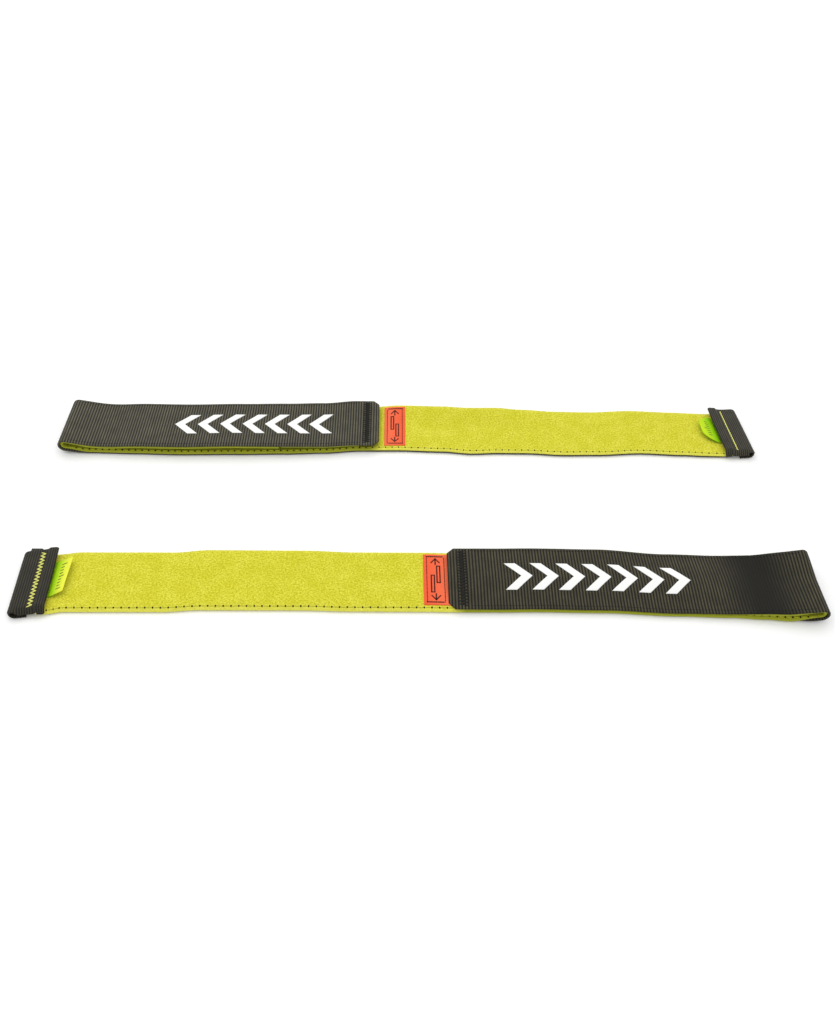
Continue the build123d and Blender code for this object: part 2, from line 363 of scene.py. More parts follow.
@dataclass(frozen=True)
class SewingThread(Finish):
    """Spun polyester sewing thread, plied: a painted highlight on each turn of the ply and painted shade between turns.
    """

    body: str = "#d8d43a"
    shadow: str = "#a5a11c"
    ply: float = 0.45  # mm between turns

    def look(self, wires: Wires) -> Look:
        """Slanted bands of painted highlight and painted shade round the thread, as colour and bump."""
        bands = wires.bands(wires.noted("thread", "Vector"), self.ply, "DIAGONAL", Distortion=0.4)
        return wires.mix(bands, self.shadow, self.body), wires.bump(bands, 0.4, 0.1)


@dataclass(frozen=True)
class PiercedHole(Finish):
    """The hole that a needle leaves: torn yarn in deep shadow."""

    body: str = "#1a1a08"
    rim: str = "#34330e"

    def look(self, wires: Wires) -> Look:
        """Dark, broken by a little torn yarn."""
        return wires.mix(wires.noise(wires.place(), 2.0 / MM), self.body, self.rim), None


@dataclass(frozen=True)
class WovenSatin(Finish):
    """Polyester satin ribbon, woven on a narrow loom: smooth floats with a faint weave and a soft gloss."""

    root: str = "#a8d90f"
    outer: str = "#e4f24a"
    span: tuple[float, float] = (0.0, 9.0)  # mm along the piece, where root turns into outer
    weave: float = 0.5  # mm, drawn coarser than real so that it shows
    slub: float = 3.0

    def look(self, wires: Wires) -> Look:
        """Root colour turning into outer colour along the piece, under a fine plain weave."""
        uv = wires.uv()
        share = wires.spread(wires.split(uv), *self.span, interpolation_type="SMOOTHSTEP")
        cloth = wires.times(*(wires.bands(uv, self.weave, way) for way in ("X", "Y")))
        slubs = wires.noise(uv, 1.0 / self.slub, Detail=3.0)
        shade = wires.spread(wires.math("ADD", cloth, slubs), 0.2, 1.2, 0.86, 1.05)
        tint = wires.add("ShaderNodeVectorMath", {
            0: wires.mix(share, self.root, self.outer), "Scale": shade,
        }, operation="SCALE")
        return tint, wires.bump(cloth, 0.4, 0.06)


@dataclass(frozen=True)
class MouldedHook(Finish):
    """Nylon hook tape and bar, woven or moulded: hard and a little glossy."""

    body: str = "#191915"
    tip: str = "#33332b"
    grain: float = 0.8

    def look(self, wires: Wires) -> Look:
        """Two close tones in a fine grain."""
        grain = wires.noise(wires.place(), 1.0 / (self.grain * MM), Detail=2.0)
        return wires.mix(grain, self.body, self.tip), wires.bump(grain, 0.3, 0.05)


@dataclass(frozen=True)
class PaperSweep(Finish):
    """Matt white background paper: almost even, with a trace of tooth."""

    body: str = "#ffffff"
    tooth: str = "#fbfbfa"
    lit: float = 0.08

    def look(self, wires: Wires) -> Look:
        """White with a trace of tooth."""
        return wires.mix(wires.noise(wires.place(), 300.0), self.body, self.tooth), None


class Finishes:
    """Every finish of one strap, made once."""

    def __init__(self, hand: Hand, under_flap_shade_from: float, painted_shade_at: float) -> None:
        """Makes the materials. The far strap's webbing and stop tape are lighter copies of the near strap's, painted
        light for how each lies to the light; the tag colours differ too.

        Args:
            hand: which strap.
            under_flap_shade_from: millimetres along the path where the flap starts to cover the pile and painted shade
                starts.
            painted_shade_at: where the band of painted shade darkens the near strap's flap webbing.
        """
        near = hand is Hand.RIGHT
        name = hand.value
        # painted light and shade: the far strap's webbing is a lighter copy, the near one's darker; only the near flap
        # gets the band of painted shade
        crest = "#5a5540" if near else "#706c5a"
        groove = "#0f0e07" if near else "#1f1e17"
        self.webbing = RibbedWebbing(f"{name}_ribbed_polyester_webbing", crest=crest, groove=groove, sheen=0.04,
                                     painted_shade_at=painted_shade_at if near else -1000.0).make()
        self.pile = LoopPile(f"{name}_brushed_nylon_loop", roughness=0.95, specular=0.1, sheen=0.15,
                             sheen_tint="#fffbc0", under_flap_shade_from=under_flap_shade_from).make()
        self.fibre = PileFibre(f"{name}_nylon_loop_fibre", roughness=0.7, specular=0.2).make()
        self.lime_thread = SewingThread(f"{name}_spun_polyester_lime_thread").make()
        self.black_thread = SewingThread(f"{name}_spun_polyester_black_thread", body="#2b2a24", shadow="#0f0f0c").make()
        self.yellow_thread = SewingThread(f"{name}_trilobal_polyester_yellow_thread", roughness=0.45, specular=0.5,
                                          body="#fcfb8e", shadow="#d4d556").make()
        self.red_thread = SewingThread(
            f"{name}_spun_polyester_dark_red_thread", body="#7a1f16", shadow="#3c0f0b",
        ).make()
        self.hole = PiercedHole(f"{name}_pierced_pile_hole", roughness=1.0, specular=0.0).make()
        self.dark_hole = PiercedHole(f"{name}_pierced_webbing_hole", roughness=1.0, specular=0.0,
                                     body="#060605", rim="#11110d").make()
        # painted light and shade: the far strap's stop tape is a lighter copy of the near one's
        self.stop_tape = RibbedWebbing(f"{name}_fine_ribbed_nylon_tape", crest="#423e2e" if near else "#545040",
                                       groove="#11100a", yarn=0.4, sheen=0.05, roughness=0.7).make()
        self.core = MouldedHook(f"{name}_extruded_nylon_bar", roughness=0.5).make()
        self.tag = WovenSatin(f"{name}_woven_satin_tag", roughness=0.5,
                              specular=0.12, root="#a2de0c" if near else "#8ed200",
                              outer="#f8fb4a" if near else "#caec14").make()
        self.tag_print = SewingThread(f"{name}_woven_dark_tag_yarn", body="#4d5a1c", shadow="#2c3610").make()
        self.label = WovenSatin(f"{name}_woven_polyester_label", roughness=0.6, root="#fb5f33", outer="#fd7044",
                                span=(210.0, 222.0), weave=0.6).make()
        self.label_print = SewingThread(f"{name}_woven_dark_label_yarn", body="#5a160c", shadow="#320c06").make()
        self.mark = SewingThread(
            f"{name}_satin_stitch_white_yarn", roughness=0.6, body="#ffffff", shadow="#fafaf6",
        ).make()
        self.hooks = MouldedHook(f"{name}_woven_nylon_hook", roughness=0.5, body="#8f9626", tip="#b4ba40").make()


# ---------------------------------------------------------------- bench tools, as Geometry Nodes


class Tool:
    """A bench tool: a Geometry Nodes tree with named inputs for its sizes."""

    sizes: dict[str, str] = {}

    def __init__(self) -> None:
        """Builds the tree once."""
        self.tree = bpy.data.node_groups.new(type(self).__name__, "GeometryNodeTree")
        panel = self.tree.interface
        for name, kind in {"Geometry": "Geometry", **self.sizes}.items():
            panel.new_socket(name, in_out="INPUT", socket_type=f"NodeSocket{kind}")
        panel.new_socket("Geometry", in_out="OUTPUT", socket_type="NodeSocketGeometry")
        given = add_node(self.tree, "NodeGroupInput").outputs
        add_node(self.tree, "NodeGroupOutput", {0: self.wire(Wires(self.tree), given)})

    def wire(self, wires: Wires, given: bpy.types.bpy_prop_collection) -> bpy.types.NodeSocket:
        """Adds the nodes and returns the geometry that comes out; each tool has its own."""
        raise NotImplementedError

    def run(self, name: str, mesh: bpy.types.Mesh | None = None, **values) -> bpy.types.Mesh:
        """Works a mesh, or makes one from nothing.

        Args:
            name: the new mesh's name.
            mesh: the mesh to work on, which is used up.
            **values: the tree's inputs, with underscores for spaces.

        Returns:
            A plain mesh, in bench coordinates.
        """
        mesh = mesh or bpy.data.meshes.new(name)
        blank = bpy.data.objects.new(name, mesh)
        bpy.context.scene.collection.objects.link(blank)
        modifier = blank.modifiers.new(self.tree.name, "NODES")
        modifier.node_group = self.tree
        wanted = {key.replace("_", " ").lower(): value for key, value in values.items()}
        for item in self.tree.interface.items_tree:
            if item.in_out == "INPUT" and item.name.lower() in wanted:
                modifier[item.identifier] = wanted.pop(item.name.lower())
        if wanted:
            raise KeyError(f"{self.tree.name} has no input {sorted(wanted)}")
        graph = bpy.context.evaluated_depsgraph_get()
        made = bpy.data.meshes.new_from_object(
            blank.evaluated_get(graph), preserve_all_data_layers=True, depsgraph=graph,
        )
        made.name = name
        bpy.data.objects.remove(blank)
        bpy.data.meshes.remove(mesh)
        return made


class RibTool(Tool):
    """Raises ribs across a tape on both its faces, and notes how high each point is as "rib"."""

    sizes = {"Pitch": "Float", "Height": "Float", "Unevenness": "Float", "Material": "Material"}

    def wire(self, wires: Wires, given: bpy.types.bpy_prop_collection) -> bpy.types.NodeSocket:
        """Moves each point along Z by the rib's height, in proportion to its skin."""
        place = wires.add("GeometryNodeInputPosition")
        angle = wires.times(wires.math("DIVIDE", wires.split(place), given["Pitch"]), math.pi)
        crest = wires.math("ABSOLUTE", wires.math("SINE", angle))
        uneven = wires.times(wires.noise(place, 0.9, Detail=2.0), given["Unevenness"])
        rib = wires.times(crest, wires.math("SUBTRACT", 1.0, uneven))
        lift = wires.times(wires.times(rib, given["Height"]), wires.skin())
        moved = wires.add("GeometryNodeSetPosition", {
            "Geometry": wires.note(given["Geometry"], "rib", rib), "Offset": wires.vector(0.0, 0.0, lift),
        })
        return wires.paint(moved, given["Material"])


class StitchTool(Tool):
    """A straight row of lockstitches along X, each a fat thread that dives into a hole at its ends."""

    sizes = {
        "Count": "Int", "Start": "Float", "Across": "Float", "Level": "Float", "Pitch": "Float", "Length": "Float",
        "Thread": "Float", "Flat": "Float", "Hole": "Float", "Hole Level": "Float", "Seed": "Int",
        "Material": "Material", "Hole Material": "Material",
    }

    def wire(self, wires: Wires, given: bpy.types.bpy_prop_collection) -> bpy.types.NodeSocket:
        """Puts a drop of thread at each stitch and a dimple between stitches."""
        first = wires.math("ADD", given["Start"], wires.times(given["Pitch"], 0.5))
        stitch_row, hole_row = (
            wires.line(Count=given["Count"], Start_Location=wires.vector(start, given["Across"], given[level]),
                       Offset=wires.vector(given["Pitch"]))
            for start, level in ((first, "Level"), (given["Start"], "Hole Level"))
        )
        swing = wires.add("FunctionNodeRandomValue", {
            0: (0.0, 0.0, -0.05), 1: (0.0, 0.0, 0.05), "Seed": given["Seed"],
        }, data_type="FLOAT_VECTOR")
        drop = wires.paint(wires.thread(given["Length"], given), given["Material"])
        dimple = wires.paint(wires.ball(4, wires.vector(given["Hole"], given["Hole"], 0.12)), given["Hole Material"])
        both = add_node(self.tree, "GeometryNodeJoinGeometry")
        for row in (wires.copies(stitch_row, drop, Rotation=swing), wires.copies(hole_row, dimple)):
            self.tree.links.new(row, both.inputs[0])
        return wires.realize(both.outputs[0])


class ZigzagTool(Tool):
    """A zigzag seam along Y: each leg of thread crosses from one row of holes to the other."""

    sizes = {
        "Count": "Int", "Centre": "Float", "Level": "Float", "Pitch": "Float", "Width": "Float", "Thread": "Float",
        "Flat": "Float", "Seed": "Int", "Material": "Material",
    }

    def wire(self, wires: Wires, given: bpy.types.bpy_prop_collection) -> bpy.types.NodeSocket:
        """Turns every other leg the other way."""
        pitch, width = given["Pitch"], given["Width"]
        span = wires.times(wires.math("ADD", given["Count"], -1.0), pitch)
        line = wires.line(
            Count=given["Count"], Offset=wires.vector(0.0, pitch),
            Start_Location=wires.vector(given["Centre"], wires.times(span, -0.5), given["Level"]),
        )
        parity = wires.math("MODULO", wires.add("GeometryNodeInputIndex"), 2.0)
        sign = wires.math("MULTIPLY_ADD", parity, -2.0, 1.0)
        angle = wires.times(wires.math("ARCTAN2", pitch, width), sign)
        jitter = wires.add("FunctionNodeRandomValue", {2: -0.06, 3: 0.06, "Seed": given["Seed"]}, 1, data_type="FLOAT")
        rotation = wires.vector(0.0, 0.0, wires.math("ADD", angle, jitter))
        leg = wires.add("ShaderNodeVectorMath", {0: wires.vector(width, pitch)}, "Value", operation="LENGTH")
        drop = wires.thread(wires.math("ADD", leg, given["Thread"]), given)
        return wires.paint(wires.realize(wires.copies(line, drop, Rotation=rotation)), given["Material"])


class LoopTool(Tool):
    """Scatters loops of yarn, or hooks, over the lining side of a tape.

    A loop is an arc of thin yarn that stands on the tape; "lift" notes how high each point stands.
    """

    sizes = {
        "Density": "Float", "Radius": "Float", "Yarn": "Float", "Sweep": "Float", "Sink": "Float", "Tilt": "Float",
        "Seed": "Int", "Material": "Material",
    }

    def wire(self, wires: Wires, given: bpy.types.bpy_prop_collection) -> bpy.types.NodeSocket:
        """Grows an arc at random points where the skin faces up, then turns, tilts and scales each."""
        tilt, seed = given["Tilt"], given["Seed"]
        top = wires.add("FunctionNodeCompare", {0: wires.skin(), 1: 0.55}, data_type="FLOAT", operation="GREATER_THAN")
        points = wires.add("GeometryNodeDistributePointsOnFaces", {
            "Mesh": given["Geometry"], "Selection": top, "Density": given["Density"], "Seed": seed,
        }, "Points")
        arc = wires.add("GeometryNodeCurveArc", {
            "Resolution": 5, "Radius": given["Radius"], "Start Angle": 0.0, "Sweep Angle": given["Sweep"],
        }, "Curve", mode="RADIUS")
        ring = wires.add("GeometryNodeCurvePrimitiveCircle", {"Resolution": 3, "Radius": given["Yarn"]}, mode="RADIUS")
        tube = wires.add("GeometryNodeCurveToMesh", {"Curve": arc, "Profile Curve": ring})
        up = wires.split(wires.add("GeometryNodeInputPosition"), 1)
        stand = wires.add("GeometryNodeTransform", {
            "Geometry": wires.note(tube, "lift", wires.math("DIVIDE", up, given["Radius"])),
            "Rotation": (math.pi / 2.0, 0.0, 0.0),
            "Translation": wires.vector(0.0, 0.0, wires.times(given["Sink"], -1.0)),
        })
        lean = wires.times(tilt, -1.0)
        turn = wires.add("FunctionNodeRandomValue", {
            0: wires.vector(lean, lean), 1: wires.vector(tilt, tilt, 2.0 * math.pi), "Seed": seed,
        }, data_type="FLOAT_VECTOR")
        size = wires.add("FunctionNodeRandomValue", {2: 0.7, 3: 1.3, "Seed": seed}, 1, data_type="FLOAT")
        loops = wires.copies(points, stand, Rotation=turn, Scale=size)
        return wires.paint(wires.realize(loops), given["Material"])


class RepeatTool(Tool):
    """Repeats a small woven shape along the tape."""

    sizes = {"Count": "Int", "Pitch": "Float", "Material": "Material"}

    def wire(self, wires: Wires, given: bpy.types.bpy_prop_collection) -> bpy.types.NodeSocket:
        """Puts the shape at evenly spaced points."""
        line = wires.line(Count=given["Count"], Offset=wires.vector(given["Pitch"]))
        return wires.paint(wires.realize(wires.copies(line, given["Geometry"])), given["Material"])


@dataclass
class Bench:
    """The workbench: one of each tool."""

    rib: RibTool = field(default_factory=RibTool)
    stitch: StitchTool = field(default_factory=StitchTool)
    zigzag: ZigzagTool = field(default_factory=ZigzagTool)
    loop: LoopTool = field(default_factory=LoopTool)
    repeat: RepeatTool = field(default_factory=RepeatTool)


# ---------------------------------------------------------------- flat pieces


@dataclass(frozen=True)
class Cut:
    """A length of tape as it is cut: its span along the path, its half width and its two faces."""

    start: float
    end: float
    half_width: float
    low: float
    high: float
    step: float = 1.0
    columns: int = 16
    edge: float = 0.5  # radius of the selvedges
    closed_start: float = 0.35  # radius of the cut ends; 0 where the tape carries on in the next piece
    closed_end: float = 0.35
    outline: Callable[[np.ndarray], np.ndarray] | None = None  # half width along the tape, as a share

    def rows(self) -> list[tuple[float, float]]:
        """Places along the tape, each with its share of the thickness."""
        count = max(2, round((self.end - self.start - self.closed_start - self.closed_end) / self.step))
        middle = np.linspace(self.start + self.closed_start, self.end - self.closed_end, count + 1)
        turns = [math.radians(a) for a in (90.0, 60.0, 30.0)]
        head = [(self.start, 0.0)] if not self.closed_start else [
            (self.start + self.closed_start * (1 - math.sin(a)), math.cos(a)) for a in turns
        ]
        tail = [(self.end, 0.0)] if not self.closed_end else [
            (self.end - self.closed_end * (1 - math.sin(a)), math.cos(a)) for a in reversed(turns)
        ]
        return head + [(float(s), 1.0) for s in middle] + tail

    def across(self) -> list[tuple[float, float]]:
        """Places across the tape, each with its share of the thickness."""
        flat = self.half_width - self.edge
        middle = [(float(y), 1.0) for y in np.linspace(-flat, flat, self.columns + 1)]
        right = [(flat + self.edge * math.sin(math.radians(a)), math.cos(math.radians(a))) for a in (30.0, 60.0, 90.0)]
        return [(-y, e) for y, e in reversed(right)] + middle + right

    def mesh(self, name: str) -> bpy.types.Mesh:
        """Builds the tape as a closed slab.

        Args:
            name: the mesh's name.

        Returns:
            A mesh with a UV map in millimetres, and "skin": -1 on the low face, +1 on the high one.
        """
        rows, across = np.array(self.rows()), np.array(self.across())
        count, wide = len(rows), len(across)
        s, y = np.meshgrid(rows[:, 0], across[:, 0], indexing="ij")
        share = np.outer(rows[:, 1], across[:, 1])
        share[share < 1e-6] = 0.0
        if self.outline:
            y = y * self.outline(s)
        middle, half = (self.low + self.high) / 2.0, (self.high - self.low) / 2.0
        points, skins = [], []
        for face in (-1.0, 1.0):
            points.append(np.stack([s, y, middle + face * half * share], axis=-1).reshape(-1, 3))
            skins.append((face * share).reshape(-1))
        points, skins = np.concatenate(points), np.concatenate(skins)
        grid = np.arange(count * wide).reshape(count, wide)
        quads = np.stack([grid[:-1, :-1], grid[1:, :-1], grid[1:, 1:], grid[:-1, 1:]], axis=-1).reshape(-1, 4)
        upper = quads + count * wide
        seam = np.flatnonzero(share.reshape(-1) == 0.0)
        same = np.arange(len(points))
        same[seam + count * wide] = seam
        faces = np.concatenate([same[quads[:, ::-1]], same[upper]])
        used, flat_index = np.unique(faces, return_inverse=True)
        return plain_mesh(name, points[used], flat_index.reshape(faces.shape), skins[used])


def plain_mesh(name: str, points: np.ndarray, faces: np.ndarray, skins: np.ndarray) -> bpy.types.Mesh:
    """Makes a mesh of quads with its UV map and its skin.

    Args:
        name: the mesh's name.
        points: bench coordinates, in millimetres.
        faces: four corners each.
        skins: the skin of each point.

    Returns:
        The mesh.
    """
    mesh = bpy.data.meshes.new(name)
    mesh.from_pydata(points.tolist(), [], faces.tolist())
    layer = mesh.uv_layers.new(name=UV_LAYER)
    corners = np.empty(len(mesh.loops), dtype=np.int32)
    mesh.loops.foreach_get("vertex_index", corners)
    layer.data.foreach_set("uv", points[corners][:, :2].astype(np.float32).reshape(-1))
    skin = mesh.attributes.new("skin", "FLOAT", "POINT")
    skin.data.foreach_set("value", skins.astype(np.float32))
    mesh.polygons.foreach_set("use_smooth", np.ones(len(mesh.polygons), dtype=bool))
    return mesh


def coordinates(mesh: bpy.types.Mesh) -> np.ndarray:
    """A mesh's points, three numbers each."""
    flat = np.empty(len(mesh.vertices) * 3, dtype=np.float64)
    mesh.vertices.foreach_get("co", flat)
    return flat.reshape(-1, 3)


def reshape(mesh: bpy.types.Mesh, points: np.ndarray) -> bpy.types.Mesh:
    """Gives a mesh new points and returns it."""
    mesh.vertices.foreach_set("co", points.astype(np.float32).reshape(-1))
    mesh.update()
    return mesh


def joined(name: str, meshes: Sequence[bpy.types.Mesh]) -> bpy.types.Mesh:
    """Joins meshes into one, with their materials and attributes.

    Args:
        name: the new mesh's name.
        meshes: the meshes, which are used up.

    Returns:
        The joined mesh.
    """
    objects = [bpy.data.objects.new(name, mesh) for mesh in meshes]
    for item in objects:
        bpy.context.scene.collection.objects.link(item)
    if len(objects) > 1:
        with bpy.context.temp_override(active_object=objects[0], object=objects[0], selected_editable_objects=objects,
                                       selected_objects=objects):
            bpy.ops.object.join()
    mesh = objects[0].data
    bpy.data.objects.remove(objects[0])
    mesh.name = name
    return mesh


def smooth(share: np.ndarray) -> np.ndarray:
    """Smoothstep of a share, held between 0 and 1."""
    share = np.clip(share, 0.0, 1.0)
    return share * share * (3.0 - 2.0 * share)


# ---------------------------------------------------------------- how a strap lies


@dataclass(frozen=True)
class Run:
    """A stretch of a path: its length, and how many degrees it turns to the left on the way."""

    length: float
    turn: float = 0.0


def bend(radius: float, turn: float) -> Run:
    """An arc of that radius and turn."""
    return Run(radius * abs(math.radians(turn)), turn)


def step_runs(length: float, drop: float) -> list[Run]:
    """Two equal and opposite arcs that move a path sideways by drop over length."""
    angle = 2.0 * math.degrees(math.atan(abs(drop) / length))
    radius = length / (2.0 * math.sin(math.radians(angle)))
    side = math.copysign(angle, drop)
    return [bend(radius, side), bend(radius, -side)]


class TapePath:
    """The line in the XZ plane that a tape's reference face follows."""

    def __init__(self, start: tuple[float, float], heading: float, runs: Iterable[Run]) -> None:
        """Walks the runs once and keeps the pose at the start of each."""
        self.poses: list[tuple[float, float, float, float, float]] = []
        s, x, z, angle = 0.0, start[0], start[1], math.radians(heading)
        for run in runs:
            curve = math.radians(run.turn) / run.length
            self.poses.append((s, x, z, angle, curve))
            x, z, angle = self.step(x, z, angle, curve, run.length)
            s += run.length
        self.poses.append((s, x, z, angle, 0.0))
        self.length = s

    @staticmethod
    def step(x: float, z: float, angle: float, curve: float, length):
        """The pose after going on by a length, which may be an array."""
        if curve:
            turned = angle + curve * length
            along, up = (np.sin(turned) - math.sin(angle)) / curve, (np.cos(turned) - math.cos(angle)) / curve
            return x + along, z - up, turned
        return x + length * math.cos(angle), z + length * math.sin(angle), angle + 0.0 * length

    def lay(self, bench: np.ndarray) -> np.ndarray:
        """Bends bench coordinates along the path.

        Args:
            bench: points as along, across and up from the reference face, in millimetres.

        Returns:
            Points as X, Y and Z, in the strap's own frame.
        """
        s, up = bench[:, 0], bench[:, 2]
        x, z, angle = np.zeros_like(s), np.zeros_like(s), np.zeros_like(s)
        starts = [pose[0] for pose in self.poses]
        which = np.clip(np.searchsorted(starts, s, side="right") - 1, 0, len(starts) - 1)
        for index, (s0, x0, z0, a0, curve) in enumerate(self.poses):
            here = which == index
            if index == 0:
                curve = curve if s0 == 0.0 else 0.0
            x[here], z[here], angle[here] = self.step(x0, z0, a0, curve, s[here] - s0)
        return np.stack([x - up * np.sin(angle), bench[:, 1], z + up * np.cos(angle)], axis=-1)

    def pose(self, s: float) -> tuple[float, float, float]:
        """X, Z and heading in radians at a place on the path."""
        for s0, x0, z0, a0, curve in reversed(self.poses):
            if s >= s0:
                x, z, angle = self.step(x0, z0, a0, curve, s - s0)
                return float(x), float(z), float(angle)
        return self.poses[0][1:4]


@dataclass(frozen=True)
class Knot:
    """How far the soft strap lies off its straight line at a place along X, in millimetres."""

    x: float
    sideways: float = 0.0
    far_edge: float = 0.0  # extra height of the edge towards +Y
    gap: float = 0.0  # extra height of the flap over the base
    flap_near: float = 0.0  # extra height of the flap's edge towards -Y
    flap_far: float = 0.0  # extra height of the flap's edge towards +Y
    back: float = 0.0  # how far the flap is drawn back towards the fold


@dataclass(frozen=True)
class Drape:
    """The gentle waves that a soft strap lies in, the same for all its layers."""

    knots: tuple[Knot, ...]
    half_width: float = 20.0
    squeeze: tuple[float, float] = (3.05, 4.65)  # heights between which the flap's pile is pressed together
    give: float = 1.5  # how far it can be pressed
    skew: float = 0.0  # how much further along the stop's near edge is sewn than its far one
    flattened: float = 0.14  # share of the height lost where the stop is sewn down
    stop_end: float = 18.5
    stop_ease: float = 12.0  # how far past the stop its skew and its flattening die away
    stop_width: float = 42.0
    skew_still: float = 0.4  # where across the stop the skew is nothing, as a share of its width

    def value(self, name: str, x: np.ndarray) -> np.ndarray:
        """One of a knot's numbers, eased from knot to knot."""
        places = np.array([knot.x for knot in self.knots])
        values = np.array([getattr(knot, name) for knot in self.knots])
        which = np.clip(np.searchsorted(places, x, side="right") - 1, 0, len(places) - 2)
        share = smooth((x - places[which]) / (places[which + 1] - places[which]))
        return values[which] + share * (values[which + 1] - values[which])

    def ease(self, points: np.ndarray, flap: np.ndarray) -> np.ndarray:
        """Moves points of the straight strap to where the soft one lies.

        Args:
            points: X, Y and Z in the strap's own frame.
            flap: how far round the fold each point is, from 0 on the base to 1 on the flap.

        Returns:
            The moved points.
        """
        x, y = points[:, 0], points[:, 1]
        near, far = smooth(-y / self.half_width), smooth(y / self.half_width)
        moved = points.copy()
        stop = 1.0 - smooth((x - self.stop_end) / self.stop_ease)
        moved[:, 0] += self.skew * stop * (self.skew_still - y / self.stop_width) + flap * self.value("back", x)
        moved[:, 1] += self.value("sideways", x)
        moved[:, 2] *= 1.0 - self.flattened * stop
        moved[:, 2] += far * self.value("far_edge", x)
        lift = self.value("gap", x) + near * self.value("flap_near", x) + far * self.value("flap_far", x)
        kept = np.clip((points[:, 2] - self.squeeze[0]) / (self.squeeze[1] - self.squeeze[0]), 0.0, 1.0)
        pressed = np.where(lift < 0.0, np.minimum(0.0, lift + self.give), lift)
        moved[:, 2] += flap * (lift * kept + pressed * (1.0 - kept))
        return moved


# ---------------------------------------------------------------- the strap


@dataclass(frozen=True)
class StrapSizes:
    """The strap's sizes, in millimetres, as the CAD has them."""

    folded_length: float = 420.0
    spacing: float = 124.0
    middle_x: float = 207.75
    webbing_width: float = 40.0
    webbing_thickness: float = 1.3
    loop_width: float = 38.0
    thickness: float = 2.9
    fold_radius: float = 4.1
    links: int = 4
    curl_angle: float = 11.0
    curl_length: float = 18.0
    flap_length: float = 194.0
    flap_bend_radius: float = 120.0
    flap_outside: float = 5.95
    base_start: tuple[float, float] = (3.0, 1.3)
    step_start: float = 10.0
    step_length: float = 9.0
    step_drop: float = 1.3

    @property
    def tip(self) -> float:
        """X of the flap's tip."""
        return self.folded_length - self.flap_length


class StrapForm:
    """One strap's path, the way it lies and its place in the row frame."""

    def __init__(self, hand: Hand, sizes: StrapSizes, drape: Drape) -> None:
        """Works out the path from the sizes."""
        self.hand, self.sizes, self.drape = hand, sizes, drape
        sine = math.sin(math.radians(sizes.curl_angle))
        versine = 1.0 - math.cos(math.radians(sizes.curl_angle))
        fold_x = sizes.folded_length - sizes.fold_radius + sizes.fold_radius * sine
        base = [
            Run(sizes.step_start - sizes.base_start[0]),
            *step_runs(sizes.step_length, -sizes.step_drop),
            Run(fold_x - sizes.curl_length - sizes.step_start - sizes.step_length),
            bend(sizes.curl_length / sine, sizes.curl_angle),
        ]
        fold = bend(sizes.fold_radius, 180.0)
        turned = TapePath(sizes.base_start, 0.0, [*base, fold])
        top_x, top_z, _ = turned.pose(turned.length)
        slope = (top_z - sizes.flap_outside - sizes.flap_bend_radius * versine) / sine
        down = [Run(slope), bend(sizes.flap_bend_radius, -sizes.curl_angle)]
        level = TapePath(sizes.base_start, 0.0, [*base, fold, *down])
        flat_x = level.pose(level.length)[0]
        self.path = TapePath(sizes.base_start, 0.0, [*base, fold, *down, Run(flat_x - sizes.tip)])
        self.fold_start = sum(run.length for run in base)
        self.fold_end = self.fold_start + fold.length

    def along(self, x: float, strand: Strand) -> float:
        """The place on the path above or below a given X, on one layer."""
        ends = (0.0, self.fold_start) if strand is Strand.BASE else (self.path.length, self.fold_end)
        places = np.linspace(*ends, 4001)
        laid = self.path.lay(np.stack([places, 0 * places, 0 * places], axis=-1))[:, 0]
        return float(np.interp(x, laid, places))

    def round_fold(self, s: np.ndarray) -> np.ndarray:
        """How far round the fold places on the strap's path are, from 0 to 1."""
        return smooth((s - self.fold_start) / (self.fold_end - self.fold_start))

    def world(self, points: np.ndarray, flap: np.ndarray) -> np.ndarray:
        """Puts points of the strap's own frame in the row frame, in metres.

        Args:
            points: X, Y and Z in the strap's own frame, in millimetres.
            flap: how far round the fold each point is.

        Returns:
            The points in the row frame.
        """
        side = self.hand.side
        moved = self.drape.ease(points, flap)
        moved[:, 0] = side * (moved[:, 0] - self.sizes.middle_x)
        moved[:, 1] -= side * self.sizes.spacing / 2.0
        return moved * MM

    def place(self, mesh: bpy.types.Mesh, path: TapePath | None = None,
              touch: Callable[[np.ndarray], np.ndarray] | None = None) -> bpy.types.Mesh:
        """Lays a bench mesh on a path and puts it in the row frame.

        Args:
            mesh: a mesh in bench coordinates.
            path: the path to lay it on; the strap's own by default.
            touch: a last change to the points in the strap's own frame.

        Returns:
            The same mesh, in its place.
        """
        bench = coordinates(mesh)
        points = (path or self.path).lay(bench)
        if touch:
            points = touch(points)
        flap = np.zeros(len(points)) if path else self.round_fold(bench[:, 0])
        reshape(mesh, self.world(points, flap))
        if self.hand is Hand.LEFT:
            mesh.flip_normals()
        return mesh

    def name(self, part: str) -> str:
        """A name with the strap's hand in front."""
        return f"{self.hand.value}_{part}"


